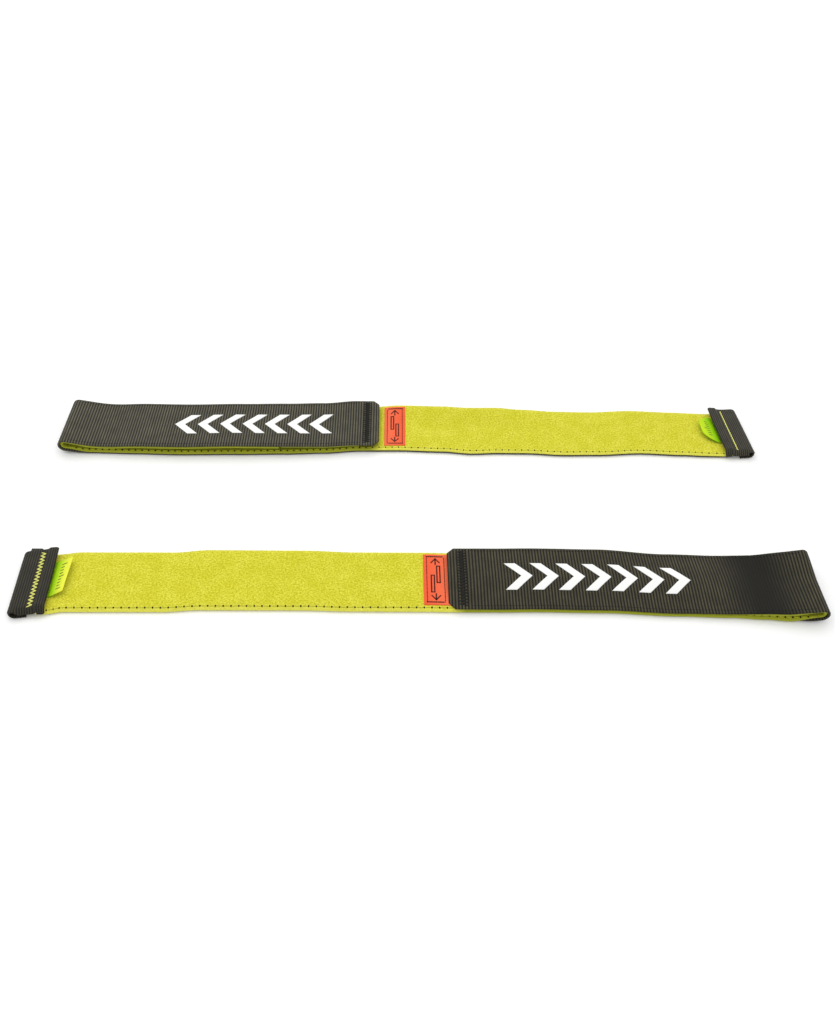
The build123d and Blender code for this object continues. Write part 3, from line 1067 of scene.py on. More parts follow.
@dataclass
class Workshop:
    """What every sub-assembly needs: the strap's form, the bench and the finishes."""

    form: StrapForm
    bench: Bench
    finishes: Finishes

    def finish(self, mesh: bpy.types.Mesh, part: str, slot: str, body: str | None,
               stands_for: Sequence[str] = ()) -> bpy.types.Object:
        """Makes a placed mesh into a piece.

        Args:
            mesh: the mesh, in the row frame.
            part: the piece's name without its hand.
            slot: the record's material slot; not used.
            body: the body that it rides on, without its hand; None where it rides on no body.
            stands_for: the CAD nodes that it replaces, without their hand.

        Returns:
            The piece's object.
        """
        skin = mesh.attributes.get("skin")
        if skin:
            mesh.attributes.remove(skin)
        piece = bpy.data.objects.new(self.form.name(part), mesh)
        bpy.context.scene.collection.objects.link(piece)
        if body:
            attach(piece, self.form.name(body))
        if stands_for:
            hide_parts(*(self.form.name(node) for node in stands_for))
        log.info("%s: %d faces", piece.name, len(mesh.polygons))
        return piece

    def tape(self, name: str, cut: Cut, material: bpy.types.Material) -> bpy.types.Mesh:
        """A plain tape, with its material."""
        mesh = cut.mesh(name)
        mesh.materials.append(material)
        return mesh

    def ribbed(self, name: str, cut: Cut, pitch: float, height: float, material: bpy.types.Material,
               unevenness: float = 0.35) -> bpy.types.Mesh:
        """A ribbed tape. Its faces are sunk by the rib's height, so that the crests reach the cut's."""
        sunk = Cut(**{**cut.__dict__, "low": cut.low + height, "high": cut.high - height})
        return self.bench.rib.run(
            name, sunk.mesh(name), pitch=pitch, height=height, unevenness=unevenness, material=material,
        )


@dataclass
class Seam:
    """A straight row of stitches along the strap."""

    pitch: float = 3.95
    length: float = 3.3
    thread: float = 0.6
    flat: float = 0.32
    hole: float = 0.75
    hole_lift: float = 0.02

    def row(self, shop: Workshop, name: str, span: tuple[float, float], across: float, level: float,
            thread: bpy.types.Material, hole: bpy.types.Material, seed: int = 3) -> bpy.types.Mesh:
        """Sews one row.

        Args:
            shop: the workshop.
            name: the mesh's name.
            span: from where to where along the path.
            across: place across the strap.
            level: height of the face that it is sewn through.
            thread: the thread's material.
            hole: the holes' material.
            seed: for the thread's small swings.

        Returns:
            The row in bench coordinates.
        """
        count = max(1, int((span[1] - span[0]) / self.pitch))
        return shop.bench.stitch.run(
            name, count=count, start=span[0], across=across, level=level, pitch=self.pitch, length=self.length,
            thread=self.thread, flat=self.flat, hole=self.hole, hole_level=level + self.hole_lift, seed=seed,
            material=thread, hole_material=hole,
        )


@dataclass
class BaseLayer:
    """The webbing that lies underneath, its loop lining and the seams along both edges."""

    shop: Workshop
    rib_pitch: float = 1.6
    rib_height: float = 0.16
    rib_steps: int = 6
    lining_step: float = 1.5
    seam_inset: float = 1.35
    seam: Seam = field(default_factory=lambda: Seam(hole=1.0, flat=0.4, length=2.9, hole_lift=0.1))
    hidden_seam: Seam = field(default_factory=lambda: Seam(hole=0.35, flat=0.2, length=3.0))
    loop_density: float = 0.36
    overhang: float = 1.15  # how far the brushed edge of the pile stands out past the lining's cut
    roll_width: float = 2.2  # the edge of the pile that rolls down over the webbing
    settle: float = 14.0  # where overhang and roll run out, before the fold

    @property
    def end(self) -> float:
        """Where the fold's first piece takes over."""
        form = self.shop.form
        return form.fold_start - half_sector(form.sizes)

    def settled(self, s: np.ndarray) -> np.ndarray:
        """1 along the base, easing to 0 at the fold."""
        return smooth((self.end - s) / self.settle)

    def lining_outline(self, s: np.ndarray) -> np.ndarray:
        """The lining stands out past its cut width, except at the fold."""
        return 1.0 + self.settled(s) * self.overhang / (self.shop.form.sizes.loop_width / 2.0)

    def webbing_outline(self, s: np.ndarray) -> np.ndarray:
        """The webbing is drawn in a little under the lining's edge."""
        drawn_in = 0.6 if self.shop.form.hand is Hand.RIGHT else 0.0
        return 1.0 - self.settled(s) * drawn_in / (self.shop.form.sizes.webbing_width / 2.0)

    def roll_down(self, mesh: bpy.types.Mesh) -> bpy.types.Mesh:
        """Rolls the pile's edges down over the webbing's."""
        sizes = self.shop.form.sizes
        points = coordinates(mesh)
        deep, sag = (1.2, 0.8) if self.shop.form.hand is Hand.RIGHT else (0.25, 0.3)
        covered = smooth((points[:, 0] - self.shop.form.along(sizes.tip, Strand.BASE)) / 14.0)
        sag = sag + 0.5 * covered
        edge = sizes.loop_width / 2.0 + self.overhang
        near = smooth((np.abs(points[:, 1]) - edge + self.roll_width) / self.roll_width)
        under = np.clip((sizes.thickness - points[:, 2]) / (sizes.thickness - sizes.webbing_thickness), 0.0, 1.0)
        points[:, 2] -= near * (sag + (deep - sag) * under) * self.settled(points[:, 0])
        return reshape(mesh, points)

    def build(self) -> None:
        """Builds webbing, lining, pile and seams."""
        form, sizes, looks = self.shop.form, self.shop.form.sizes, self.shop.finishes
        webbing = self.shop.ribbed("base_webbing", Cut(
            0.0, self.end, sizes.webbing_width / 2.0, 0.0, sizes.webbing_thickness,
            step=self.rib_pitch / self.rib_steps, columns=12, closed_end=0.0, outline=self.webbing_outline,
        ), self.rib_pitch, self.rib_height, looks.webbing)
        webbing_piece = self.shop.finish(form.place(webbing), "webbing_base", "webbing", "base", ("base_webbing",))
        lining_start = form.along(sizes.step_start, Strand.BASE)
        cut = Cut(
            lining_start, self.end, sizes.loop_width / 2.0, sizes.webbing_thickness, sizes.thickness,
            step=self.lining_step, columns=30, edge=0.75, closed_end=0.0, outline=self.lining_outline,
        )
        lining = self.roll_down(self.shop.tape("base_lining", cut, looks.pile))
        loops = self.shop.bench.loop.run(
            "base_pile", self.roll_down(cut.mesh("pile_bed")), density=self.loop_density, radius=0.3, yarn=0.055,
            sweep=math.pi, sink=0.12, tilt=0.5, seed=11 if form.hand is Hand.RIGHT else 23, material=looks.fibre,
        )
        lining_piece = self.shop.finish(form.place(lining), "loop_base", "loop_pile", "base", ("base_lining",))
        pile_piece = self.shop.finish(form.place(loops), "loop_base_pile", "loop_pile", "base")
        across = sizes.loop_width / 2.0 + self.overhang - self.seam_inset
        rows = []
        for side in (-1.0, 1.0):
            seam = self.seam if side < 0.0 else self.hidden_seam
            top = seam.row(self.shop, "base_seam", (lining_start + 9.0, self.end - 1.0), side * across,
                           sizes.thickness - 0.05, looks.lime_thread, looks.hole)
            rows.append(self.roll_down(top))
            rows.append(self.seam.row(self.shop, "under_seam", (lining_start, self.end - 1.0), side * (across - 0.6),
                                      0.05, looks.black_thread, looks.dark_hole))
        seams = form.place(joined("base_seams", rows))
        seam_piece = self.shop.finish(seams, "seam_base", "seam_thread", "base", ("base_seams",))


def half_sector(sizes: StrapSizes) -> float:
    """Half a link's arc along the webbing's outside."""
    return sizes.fold_radius * math.radians(180.0 / sizes.links) / 2.0


@dataclass
class Fold:
    """The strap round its fold: five short pieces of each tape, each laid over one hinge along the curve of the fold.
    """

    shop: Workshop
    rib_pitch: float = 1.6
    rib_height: float = 0.16
    webbing_reach: float = 0.95  # a distance either side of a hinge; its ends are worked out but not used
    lining_reach: float = 0.4

    def build(self) -> None:
        """Builds every piece, from the base round to the flap."""
        form, sizes, looks = self.shop.form, self.shop.form.sizes, self.shop.finishes
        bodies = ["base", *(f"link_{i + 1}" for i in range(sizes.links)), "flap"]
        half = half_sector(sizes)
        for index in range(sizes.links + 1):
            middle = form.fold_start + 2.0 * half * index
            span = (middle - half, middle + half)
            webbing = self.shop.ribbed("fold", Cut(
                *span, sizes.webbing_width / 2.0, 0.0, sizes.webbing_thickness,
                step=self.rib_pitch / 8.0, columns=16, closed_start=0.0, closed_end=0.0,
            ), self.rib_pitch, self.rib_height, looks.webbing)
            lining = self.shop.tape("fold", Cut(
                *span, sizes.loop_width / 2.0, sizes.webbing_thickness, sizes.thickness,
                step=0.3, columns=24, edge=0.75, closed_start=0.0, closed_end=0.0,
            ), looks.pile)
            nodes = [[f"fold_webbing_{index + 1}"], [f"fold_lining_{index + 1}"]] if index < sizes.links else [[], []]
            for mesh, part, slot, reach, replaced in (
                (webbing, "webbing_fold", "webbing", self.webbing_reach, nodes[0]),
                (lining, "loop_fold", "loop_pile", self.lining_reach, nodes[1]),
            ):
                piece = self.shop.finish(form.place(mesh), f"{part}_{index + 1}", slot, None, replaced)
                ends = form.path.lay(np.array([[middle, 0.0, 0.0]]))
                angle = form.path.pose(middle)[2]
                step = reach * np.array([[math.cos(angle), 0.0, math.sin(angle)]])
                flap = form.round_fold(np.array([middle]))
                start, end = form.world(ends - step, flap)[0], form.world(ends + step, flap)[0]
                form.name(bodies[index])
                form.name(bodies[index + 1])
                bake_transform(piece)


@dataclass
class FlapLayer:
    """The flap: webbing back to its chamfered tip, the lining's end, the hook patch, seams and the mark."""

    shop: Workshop
    rib_pitch: float = 1.6
    rib_height: float = 0.16
    rib_steps: int = 8
    chamfer: float = 3.5
    lining_end: float = 133.0  # from the fold's outside, where the hook patch takes over
    hook_start: float = 134.0
    hook_margin: float = 12.0
    hook_base: float = 0.6
    tip_seam: float = 7.6
    tip_seam_width: float = 4.6
    seam_inset: float = 2.0
    seam: Seam = field(default_factory=lambda: Seam(pitch=3.2, length=2.6, thread=0.5, flat=0.3, hole=0.55))
    mark_start: float = 29.0
    mark_length: float = 98.0
    mark_height: float = 17.5
    mark_bars: int = 7
    mark_bar: float = 6.0
    mark_thickness: float = 0.3

    def outline(self, s: np.ndarray) -> np.ndarray:
        """The tip's two cut corners, as a share of the half width."""
        sizes = self.shop.form.sizes
        left = self.shop.form.path.length - s
        cut = np.clip(self.chamfer - left, 0.0, self.chamfer)
        return 1.0 - cut / (sizes.webbing_width / 2.0)

    def build(self) -> None:
        """Builds every piece of the flap."""
        form, sizes = self.shop.form, self.shop.form.sizes
        start = form.fold_end + half_sector(sizes)
        webbing = self.webbing(start)
        lining = self.lining(start)
        seams = self.seams(start)
        self.hooks()
        tack = self.bartack()
        mark = self.mark()
        form.name("loop_base")
        (self.lining_stop() - start) * MM
        form.name("loop_base")

    def lining_stop(self) -> float:
        """Where the lining ends on the path."""
        return self.shop.form.along(self.shop.form.sizes.folded_length - self.lining_end, Strand.FLAP)

    def lining_outline(self, s: np.ndarray) -> np.ndarray:
        """The lining's brushed edge stands out to the webbing's, except at the fold."""
        return 1.0 + 0.045 * smooth((s - self.shop.form.fold_end - 2.0) / 12.0)

    def webbing(self, start: float) -> bpy.types.Object:
        """The ribbed webbing."""
        form, sizes, looks = self.shop.form, self.shop.form.sizes, self.shop.finishes
        mesh = self.shop.ribbed("flap", Cut(
            start, form.path.length, sizes.webbing_width / 2.0, 0.0, sizes.webbing_thickness,
            step=self.rib_pitch / self.rib_steps, columns=18, closed_start=0.0, outline=self.outline,
        ), self.rib_pitch, self.rib_height, looks.webbing)
        return self.shop.finish(form.place(mesh), "webbing_flap", "webbing", "flap", ("flap_webbing",))

    def lining(self, start: float) -> bpy.types.Object:
        """The end of the loop lining."""
        form, sizes, looks = self.shop.form, self.shop.form.sizes, self.shop.finishes
        mesh = self.shop.tape("flap_lining", Cut(
            start, self.lining_stop(), sizes.loop_width / 2.0, sizes.webbing_thickness, sizes.thickness,
            step=0.8, columns=24, edge=0.75, closed_start=0.0, outline=self.lining_outline,
        ), looks.pile)
        return self.shop.finish(form.place(mesh), "loop_flap", "loop_pile", "flap", ("flap_lining",))

    def seams(self, start: float) -> bpy.types.Object:
        """The two rows of black thread."""
        form, sizes, looks = self.shop.form, self.shop.form.sizes, self.shop.finishes
        across = sizes.webbing_width / 2.0 - self.seam_inset
        end = form.path.length - self.tip_seam - self.tip_seam_width / 2.0
        rows = [
            self.seam.row(self.shop, "flap_seam", (start + 0.6, end), side * across, 0.08,
                          looks.black_thread, looks.dark_hole)
            for side in (-1.0, 1.0)
        ]
        seams = form.place(joined("flap_seams", rows))
        return self.shop.finish(seams, "seam_flap", "black_thread", "flap", ("flap_seams",))

    def hooks(self) -> None:
        """The hook tape under the flap, with its field of hooks."""
        form, sizes, looks = self.shop.form, self.shop.form.sizes, self.shop.finishes
        span = (form.along(sizes.folded_length - self.hook_start, Strand.FLAP),
                form.along(sizes.tip + self.hook_margin, Strand.FLAP))
        low = sizes.webbing_thickness
        cut = Cut(*span, sizes.loop_width / 2.0 + 0.7, low, low + self.hook_base, step=2.0, columns=16, edge=0.2)
        bed = self.shop.tape("hook_bed", cut, looks.hooks)
        hooks = self.shop.bench.loop.run(
            "hook_field", cut.mesh("hook_seedbed"), density=0.45, radius=0.42, yarn=0.1, sweep=4.2,
            sink=-0.1, tilt=0.25, seed=5, material=looks.hooks,
        )
        piece = self.shop.finish(form.place(bed), "hook_tape", "hook_tape", "flap", ("hook_patch",))
        field_piece = self.shop.finish(form.place(hooks), "hook_tape_hooks", "hook_tape", "flap")
        form.name("loop_base")

    def bartack(self) -> bpy.types.Object:
        """The zigzag that closes the tip."""
        form, sizes, looks = self.shop.form, self.shop.form.sizes, self.shop.finishes
        centre = form.path.length - self.tip_seam
        pitch = 0.95
        seam = self.shop.bench.zigzag.run(
            "tip_seam", count=int((sizes.webbing_width - 3.0) / pitch), centre=centre, level=-0.08, pitch=pitch,
            width=self.tip_seam_width, thread=0.75, flat=0.45, seed=7, material=looks.black_thread,
        )
        return self.shop.finish(form.place(seam), "tack_tip", "black_thread", "flap", ("flap_bartack",))

    def mark(self) -> bpy.types.Object:
        """A plain row of woven chevrons, pointing at the fold."""
        form, looks = self.shop.form, self.shop.finishes
        half = self.mark_height / 2.0
        pitch = (self.mark_length - self.mark_bar - half) / (self.mark_bars - 1)
        far = form.path.length - self.mark_start - (self.mark_bars - 1) * pitch - self.mark_bar
        cut = Cut(far, far + self.mark_bar, half, -self.mark_thickness, 0.1, step=0.5, columns=24, edge=0.3,
                  closed_start=0.2, closed_end=0.2)
        bar = cut.mesh("chevron")
        points = coordinates(bar)
        points[:, 0] -= half - np.abs(points[:, 1])
        reshape(bar, points)
        thread = bar.attributes.new("thread", "FLOAT_VECTOR", "POINT")
        thread.data.foreach_set("vector", points.astype(np.float32).reshape(-1))
        row = self.shop.bench.repeat.run("chevrons", bar, count=self.mark_bars, pitch=pitch, material=looks.mark)
        return self.shop.finish(form.place(row), "mark_chevrons", "mark_yarn", "flap", ("flap_mark",))


@dataclass
class OverlapLabel:
    """The woven label just past the flap's tip, sewn down all round, with a plain pictogram."""

    shop: Workshop
    start_x: float = 212.3
    length: float = 12.9  # as far as the flap's tip
    tail: float = 2.2  # what lies under the tip, where the flap reaches over it
    width: float = 35.0
    thickness: float = 0.5
    inset: float = 1.8
    side_seam: Seam = field(default_factory=lambda: Seam(pitch=2.6, length=2.2, thread=0.5, flat=0.3, hole=0.5))
    end_seam: Seam = field(default_factory=lambda: Seam(pitch=2.3, length=2.0, thread=0.8, flat=0.4, hole=0.9))

    def build(self) -> None:
        """Builds the label, its seam and its pictogram."""
        form, sizes, looks = self.shop.form, self.shop.form.sizes, self.shop.finishes
        start = form.along(self.start_x, Strand.BASE)
        end = start + self.length
        tail = self.tail if form.hand is Hand.RIGHT else 0.0
        top = sizes.thickness + self.thickness
        mesh = self.shop.ribbed("label", Cut(
            start, end + tail, self.width / 2.0, sizes.thickness - 0.1, top, step=0.1, columns=40, edge=0.2,
            closed_start=0.2, closed_end=0.2,
        ), 0.5, 0.03, looks.label)
        label = self.shop.finish(form.place(mesh), "label_overlap", "label_fabric", "base", ("overlap_label",))
        rows = []
        half = self.width / 2.0 - self.inset
        for side in (-1.0, 1.0):
            rows.append(self.end_seam.row(self.shop, "label_end", (start + self.inset, end - self.inset),
                                          side * half, top, looks.black_thread, looks.dark_hole))
        for place in (start + self.inset, end - self.inset):
            row = self.side_seam.row(self.shop, "label_side", (-half, half), 0.0, top,
                                     looks.red_thread, looks.dark_hole)
            points = coordinates(row)
            points = np.stack([place - points[:, 1], points[:, 0], points[:, 2]], axis=-1)
            rows.append(reshape(row, points))
        stitching = form.place(joined("label_seam", rows))
        seam = self.shop.finish(stitching, "label_stitching", "label_thread", "base", ("label_seam",))
        sign = self.shop.finish(form.place(self.pictogram(start, top)), "label_pictogram", "label_thread", "base")
        form.name("loop_base")

    def pictogram(self, start: float, top: float) -> bpy.types.Mesh:
        """Two overlapping bars between two arrows, woven in dark yarn along the label's width."""
        looks = self.shop.finishes
        middle = start + self.length / 2.0
        strokes = []
        for offset, low, high in ((-1.5, -9.0, 2.5), (1.5, -2.5, 9.0)):
            for edge in (-0.8, 0.8):
                strokes.append(((middle + offset + edge, low), (middle + offset + edge, high)))
            for end in (low, high):
                strokes.append(((middle + offset - 0.8, end), (middle + offset + 0.8, end)))
        for tip, back in ((-14.2, -11.4), (14.2, 11.4)):
            strokes.append(((middle - 2.2, back), (middle, tip)))
            strokes.append(((middle + 2.2, back), (middle, tip)))
            strokes.append(((middle, tip), (middle, back - math.copysign(1.2, back))))
        return joined("pictogram", [stroke(a, b, 0.75, top - 0.12, top + 0.06, looks.label_print) for a, b in strokes])


def stroke(start: tuple[float, float], end: tuple[float, float], width: float, low: float, high: float,
           material: bpy.types.Material) -> bpy.types.Mesh:
    """A short woven stroke between two places on the bench.

    Args:
        start: along and across, where it starts.
        end: along and across, where it ends.
        width: how wide it is.
        low: its underside.
        high: its top.
        material: its yarn.

    Returns:
        The stroke in bench coordinates.
    """
    length = math.hypot(end[0] - start[0], end[1] - start[1])
    mesh = Cut(-width / 2.0, length + width / 2.0, width / 2.0, low, high, step=1.0, columns=2, edge=width * 0.25,
               closed_start=width * 0.3, closed_end=width * 0.3).mesh("stroke")
    points = coordinates(mesh)
    cos, sin = (end[0] - start[0]) / length, (end[1] - start[1]) / length
    turned = np.stack([start[0] + points[:, 0] * cos - points[:, 1] * sin,
                       start[1] + points[:, 0] * sin + points[:, 1] * cos, points[:, 2]], axis=-1)
    thread = mesh.attributes.new("thread", "FLOAT_VECTOR", "POINT")
    thread.data.foreach_set("vector", points.astype(np.float32).reshape(-1))
    mesh.materials.append(material)
    return reshape(mesh, turned)


@dataclass
class Stop:
    """The ribbed tape wrapped round the strap's end, with the bright zigzag through it."""

    shop: Workshop
    width: float = 42.0
    length: float = 18.5
    tape: float = 1.2
    roll_radius: float = 3.0
    lower_leg: float = 9.0
    lip_length: float = 5.2
    lip_rise: float = 1.0
    lip_radius: float = 1.35
    rib_pitch: float = 1.25
    rib_height: float = 0.13
    seam_at: float = 11.0
    seam_length: float = 37.0
    seam_pitch: float = 1.15

    def path(self) -> TapePath:
        """The tape's outside, from under the strap round the roll and up to the hemmed lip."""
        upper = self.length - self.roll_radius - self.lip_length - 1.0
        lip = self.lip_length - self.lip_radius - 1.0
        return TapePath((self.lower_leg, 0.0), 180.0, [
            Run(self.lower_leg - self.roll_radius), bend(self.roll_radius, -180.0), Run(upper),
            *step_runs(2.0, self.lip_rise), Run(lip), bend(self.lip_radius, -180.0), Run(lip),
        ])

    def build(self) -> None:
        """Builds the sleeve and its seam, and finishes the hidden bar."""
        form, looks = self.shop.form, self.shop.finishes
        path = self.path()
        roll = self.lower_leg - self.roll_radius
        centre = roll + self.roll_radius * math.pi / 2.0

        def outline(s: np.ndarray) -> np.ndarray:
            """Rounds the corners of the rolled end."""
            near = np.clip(1.0 - np.abs(s - centre) / 6.5, 0.0, 1.0)
            return 1.0 - 0.055 * near * near

        mesh = self.shop.ribbed("sleeve", Cut(
            0.0, path.length, self.width / 2.0, -self.tape, 0.0, step=self.rib_pitch / 8.0, columns=24, outline=outline,
        ), self.rib_pitch, self.rib_height, looks.stop_tape)
        wrapped = form.place(mesh, path, self.lift_corner)
        sleeve = self.shop.finish(wrapped, "stop_tape", "stop_tape", "base", ("stop_sleeve",))
        swing = 2.3 if form.hand is Hand.RIGHT else 0.4
        flat = TapePath((0.0, 0.0), 0.0, [Run(40.0)])
        seam = self.shop.bench.zigzag.run(
            "stop_seam", count=int(self.seam_length / self.seam_pitch), centre=self.seam_at,
            level=2.0 * self.roll_radius + 0.02, pitch=self.seam_pitch, width=swing, thread=0.7, flat=0.6,
            seed=9, material=looks.yellow_thread,
        )
        sewn = form.place(seam, flat, self.lift_corner)
        tack = self.shop.finish(sewn, "tack_stop", "bright_thread", "base", ("stop_bartack",))
        core = bpy.data.objects[form.name("stop_core")]
        core.data.materials.clear()
        core.data.materials.append(looks.core)
        form.name("webbing_base")

    def lift_corner(self, points: np.ndarray) -> np.ndarray:
        """Turns the lip's far corner up, as a stiff hem stands off, and its near edge down over the strap's."""
        x, y, upper = points[:, 0], points[:, 1], smooth((points[:, 2] - 2.2) / 1.0)
        along = smooth((x - 8.0) / (self.length - 8.0))
        edge = smooth((-y - 19.4) / 1.5) * smooth((x - self.roll_radius) / 3.0)
        moved = points.copy()
        moved[:, 2] += upper * (1.0 * along * smooth((y - 4.0) / 17.0) - 2.6 * edge)
        return moved


@dataclass
class SizeTag:
    """The folded satin tag that stands out from under the stop's lip, with a few plain ticks."""

    shop: Workshop
    pivot: tuple[float, float] = (18.2, 3.5)
    angle: float = 20.0
    width: float = 24.0
    length: float = 9.5
    allowance: float = 0.7  # carried on under the lip, where it is sewn in
    thickness: float = 0.5
    droop: float = -6.0  # degrees that the tag bends down along its length

    def build(self) -> None:
        """Builds the tag and its ticks."""
        form, looks = self.shop.form, self.shop.finishes
        far = form.hand is Hand.LEFT
        droop = 2.0 * self.droop if far else self.droop
        path = TapePath(self.pivot, self.angle, [Run(1.0), Run(self.length - 1.0, droop)])
        half = self.thickness / 2.0

        def outline(s: np.ndarray) -> np.ndarray:
            """Nearly straight on the front tag, a half moon on the other."""
            share = np.clip(s / self.length, 0.0, 1.0)
            return np.sqrt(1.0 - 0.85 * share**2) if far else 1.0 - 0.04 * share

        mesh = self.shop.tape("tag", Cut(
            -self.allowance, self.length, self.width / 2.0, -half, half, step=0.4, columns=24, edge=0.2,
            closed_start=0.15, closed_end=0.22, outline=outline,
        ), looks.tag)
        tag = self.shop.finish(form.place(mesh, path, self.aside), "tag_ribbon", "tag_fabric", "tag", ("size_tag",))
        strokes = []
        for index in range(9):
            y = -8.4 + 2.1 * index
            if far and abs(y) > 6.5:
                continue
            reach = 2.6 if index % 4 == 0 else 1.5
            strokes.append(stroke((4.2, y), (4.2 + reach, y), 0.6, half - 0.08, half + 0.04, looks.tag_print))
        printed = form.place(joined("ticks", strokes), path, self.aside)
        ticks = self.shop.finish(printed, "tag_ticks", "tag_fabric", "tag")

    def aside(self, points: np.ndarray) -> np.ndarray:
        """Sews the tag in a little off the middle."""
        return points + np.array([0.0, 2.4 if self.shop.form.hand is Hand.LEFT else 1.2, 0.0])


@dataclass
class Strap:
    """One whole strap."""

    hand: Hand
    drape: Drape
    bench: Bench
    sizes: StrapSizes = field(default_factory=StrapSizes)

    def build(self) -> None:
        """Builds the sub-assemblies, from the base up."""
        form = StrapForm(self.hand, self.sizes, self.drape)
        # the places where painted shade under the flap begins on the pile, and the middle of the band of painted shade
        # on the near flap's webbing
        looks = Finishes(self.hand, form.along(self.sizes.tip, Strand.BASE), form.along(389.0, Strand.FLAP))
        shop = Workshop(form, self.bench, looks)
        for part in (BaseLayer, OverlapLabel, Stop, SizeTag, Fold, FlapLayer):
            part(shop).build()
            log.info("%s strap: %s done", self.hand.value, part.__name__)


# ---------------------------------------------------------------- the studio


@dataclass
class Studio:
    """A pale floor, soft light from all round and the camera."""

    location: tuple[float, float, float] = (-0.0116, -0.3763, 0.3686)
    pitch: float = 45.0
    yaw: float = 2.15
    roll: float = 1.9
    lens: float = 32.13
    sky: float = 1.08
    horizon: float = 0.35  # the sky's share of light near the floor
    from_behind: float = 0.4
    key: float = 1.3
    floor_reach: float = 6.0
    floor_drop: float = 0.0002  # keeps the floor clear of the straps' undersides

    def build(self) -> None:
        """Builds floor, lights and camera."""
        self.floor()
        self.lights()
        self.camera()
        scene = bpy.context.scene
        scene.view_settings.view_transform = "Standard"
        scene.view_settings.look = "None"

    def floor(self) -> None:
        """A wide sheet of white paper under the straps."""
        mesh = bpy.data.meshes.new("paper")
        corners = ((-1.0, -1.0), (1.0, -1.0), (1.0, 1.0), (-1.0, 1.0))
        points = [(self.floor_reach * x, self.floor_reach * y, -self.floor_drop) for x, y in corners]
        mesh.from_pydata(points, [], [(0, 1, 2, 3)])
        paper = bpy.data.objects.new("paper", mesh)
        bpy.context.scene.collection.objects.link(paper)
        mesh.materials.append(PaperSweep("matt_white_paper", roughness=1.0, specular=0.0).make())

    def lights(self) -> None:
        """A white sky, brightest overhead and behind, and one large soft box, high on the left."""
        world = bpy.data.worlds.new("studio")
        bpy.context.scene.world = world
        world.use_nodes = True
        tree = world.node_tree
        wires = Wires(tree)
        way = wires.add("ShaderNodeTexCoord", out="Generated")
        above = wires.spread(wires.split(way, 2), 0.0, 0.7, self.horizon * self.sky, self.sky)
        behind = wires.math("MULTIPLY_ADD", wires.split(way, 1), self.from_behind, 1.0)
        glow = wires.times(above, behind)
        back = tree.nodes["Background"]
        back.inputs["Color"].default_value = (1.0, 1.0, 1.0, 1.0)
        tree.links.new(glow, back.inputs["Strength"])
        lamp = bpy.data.lights.new("soft_box", "AREA")
        lamp.shape, lamp.size, lamp.size_y, lamp.energy = "RECTANGLE", 1.0, 0.8, self.key
        box = bpy.data.objects.new("soft_box", lamp)
        bpy.context.scene.collection.objects.link(box)
        box.location = (-0.45, 0.25, 0.9)
        box.rotation_euler = (-box.location).to_track_quat("-Z", "Y").to_euler()

    def camera(self) -> None:
        """The camera, looking down across the near strap."""
        data = bpy.data.cameras.new("camera")
        data.lens, data.sensor_width, data.clip_start, data.clip_end = self.lens, 36.0, 0.01, 50.0
        view = bpy.data.objects.new("camera", data)
        bpy.context.scene.collection.objects.link(view)
        pitch, yaw, roll = (math.radians(a) for a in (self.pitch, self.yaw, self.roll))
        forward = Vector((math.sin(yaw) * math.cos(pitch), math.cos(yaw) * math.cos(pitch), -math.sin(pitch)))
        level = Vector((math.cos(yaw), -math.sin(yaw), 0.0))
        upright = level.cross(forward)
        right = level * math.cos(roll) + upright * math.sin(roll)
        up = upright * math.cos(roll) - level * math.sin(roll)
        turn = Matrix((right, up, -forward)).transposed().to_4x4()
        view.matrix_world = Matrix.Translation(self.location) @ turn
        bpy.context.scene.camera = view


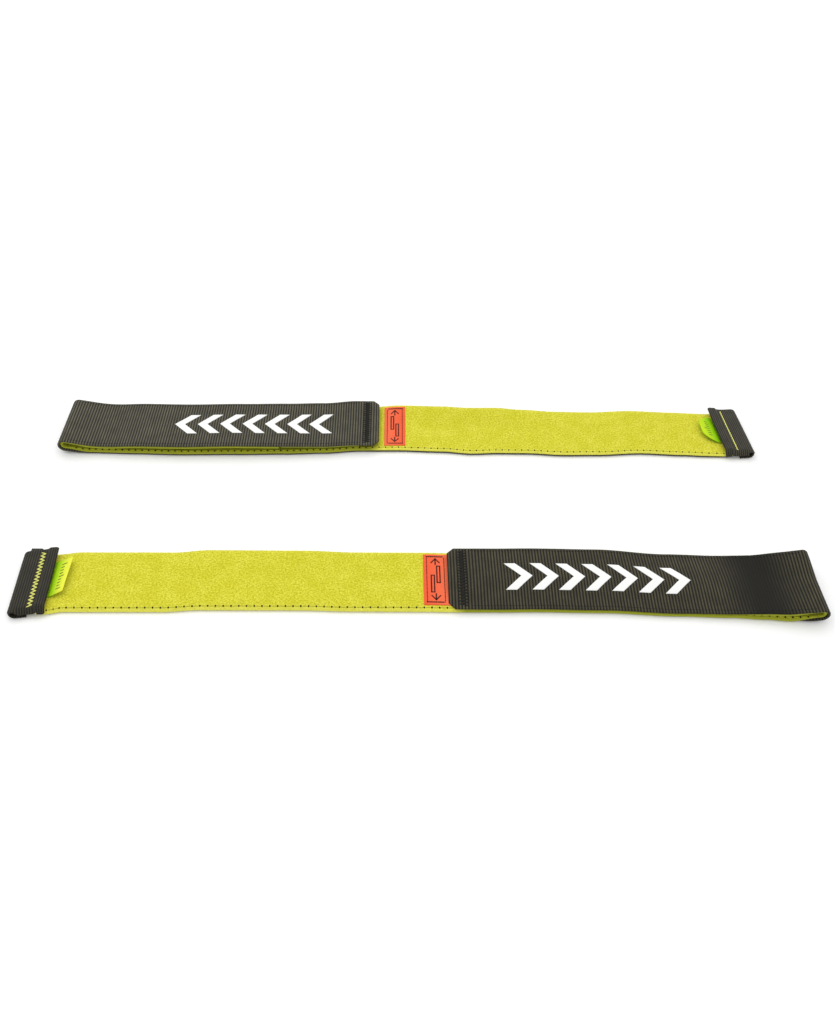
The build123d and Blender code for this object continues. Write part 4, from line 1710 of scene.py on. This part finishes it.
# How each strap lies, from its stop to its fold
RIGHT_DRAPE = Drape((
    Knot(0.0, sideways=-3.2), Knot(16.0, sideways=-1.6), Knot(30.0), Knot(78.0, sideways=0.2),
    Knot(98.0, sideways=1.5, far_edge=0.7), Knot(150.0, sideways=1.6, far_edge=0.5), Knot(175.0, sideways=1.0),
    Knot(215.0, sideways=1.0), Knot(226.0, sideways=0.8, flap_near=-2.2, back=-1.0),
    Knot(250.0, sideways=0.9, flap_near=-2.4), Knot(270.0, sideways=1.2, flap_near=-2.4),
    Knot(305.0, sideways=0.7, flap_near=-2.4), Knot(344.0, sideways=-1.3, flap_near=-2.4, flap_far=-1.4),
    Knot(372.0, sideways=-2.2, flap_near=-1.6, flap_far=-1.4), Knot(388.0, sideways=-3.2, gap=-0.2, flap_far=0.3),
    Knot(402.0, sideways=-4.4, flap_far=2.4), Knot(414.0, sideways=-5.0, flap_far=3.0),
    Knot(430.0, sideways=-5.0, flap_far=3.0),
), skew=2.6)
LEFT_DRAPE = Drape((
    Knot(0.0, sideways=-0.4), Knot(12.0, sideways=-1.2), Knot(27.0, sideways=-1.2), Knot(42.0, sideways=-0.5),
    Knot(68.0, sideways=0.8), Knot(95.0, sideways=-1.0), Knot(116.0, sideways=-1.4, far_edge=0.5),
    Knot(138.0, far_edge=0.8), Knot(155.0, far_edge=2.2), Knot(172.0, sideways=-0.8, far_edge=2.6),
    Knot(190.0, sideways=0.9, far_edge=2.2), Knot(215.0, sideways=1.7, far_edge=2.0, back=2.5),
    Knot(240.0, sideways=1.3, gap=0.2, flap_far=2.0, back=2.4),
    Knot(262.0, sideways=-0.9, gap=0.8, flap_far=1.2, back=1.8),
    Knot(285.0, sideways=-2.0, gap=1.6, flap_far=0.6, back=1.2), Knot(313.0, sideways=-2.7, gap=2.2, back=0.6),
    Knot(349.0, sideways=-3.4, gap=1.9), Knot(375.0, sideways=-2.8, gap=1.6), Knot(400.0, sideways=-2.2),
    Knot(430.0, sideways=-2.2),
), skew=-2.2)


def main() -> None:
    """Loads the frame and builds both straps and the studio."""
    logging.basicConfig(level=logging.INFO, format="%(name)s: %(message)s")
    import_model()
    bench = Bench()
    for hand, drape in ((Hand.RIGHT, RIGHT_DRAPE), (Hand.LEFT, LEFT_DRAPE)):
        Strap(hand, drape, bench).build()
    Studio().build()


if __name__ == "__main__":
    main()
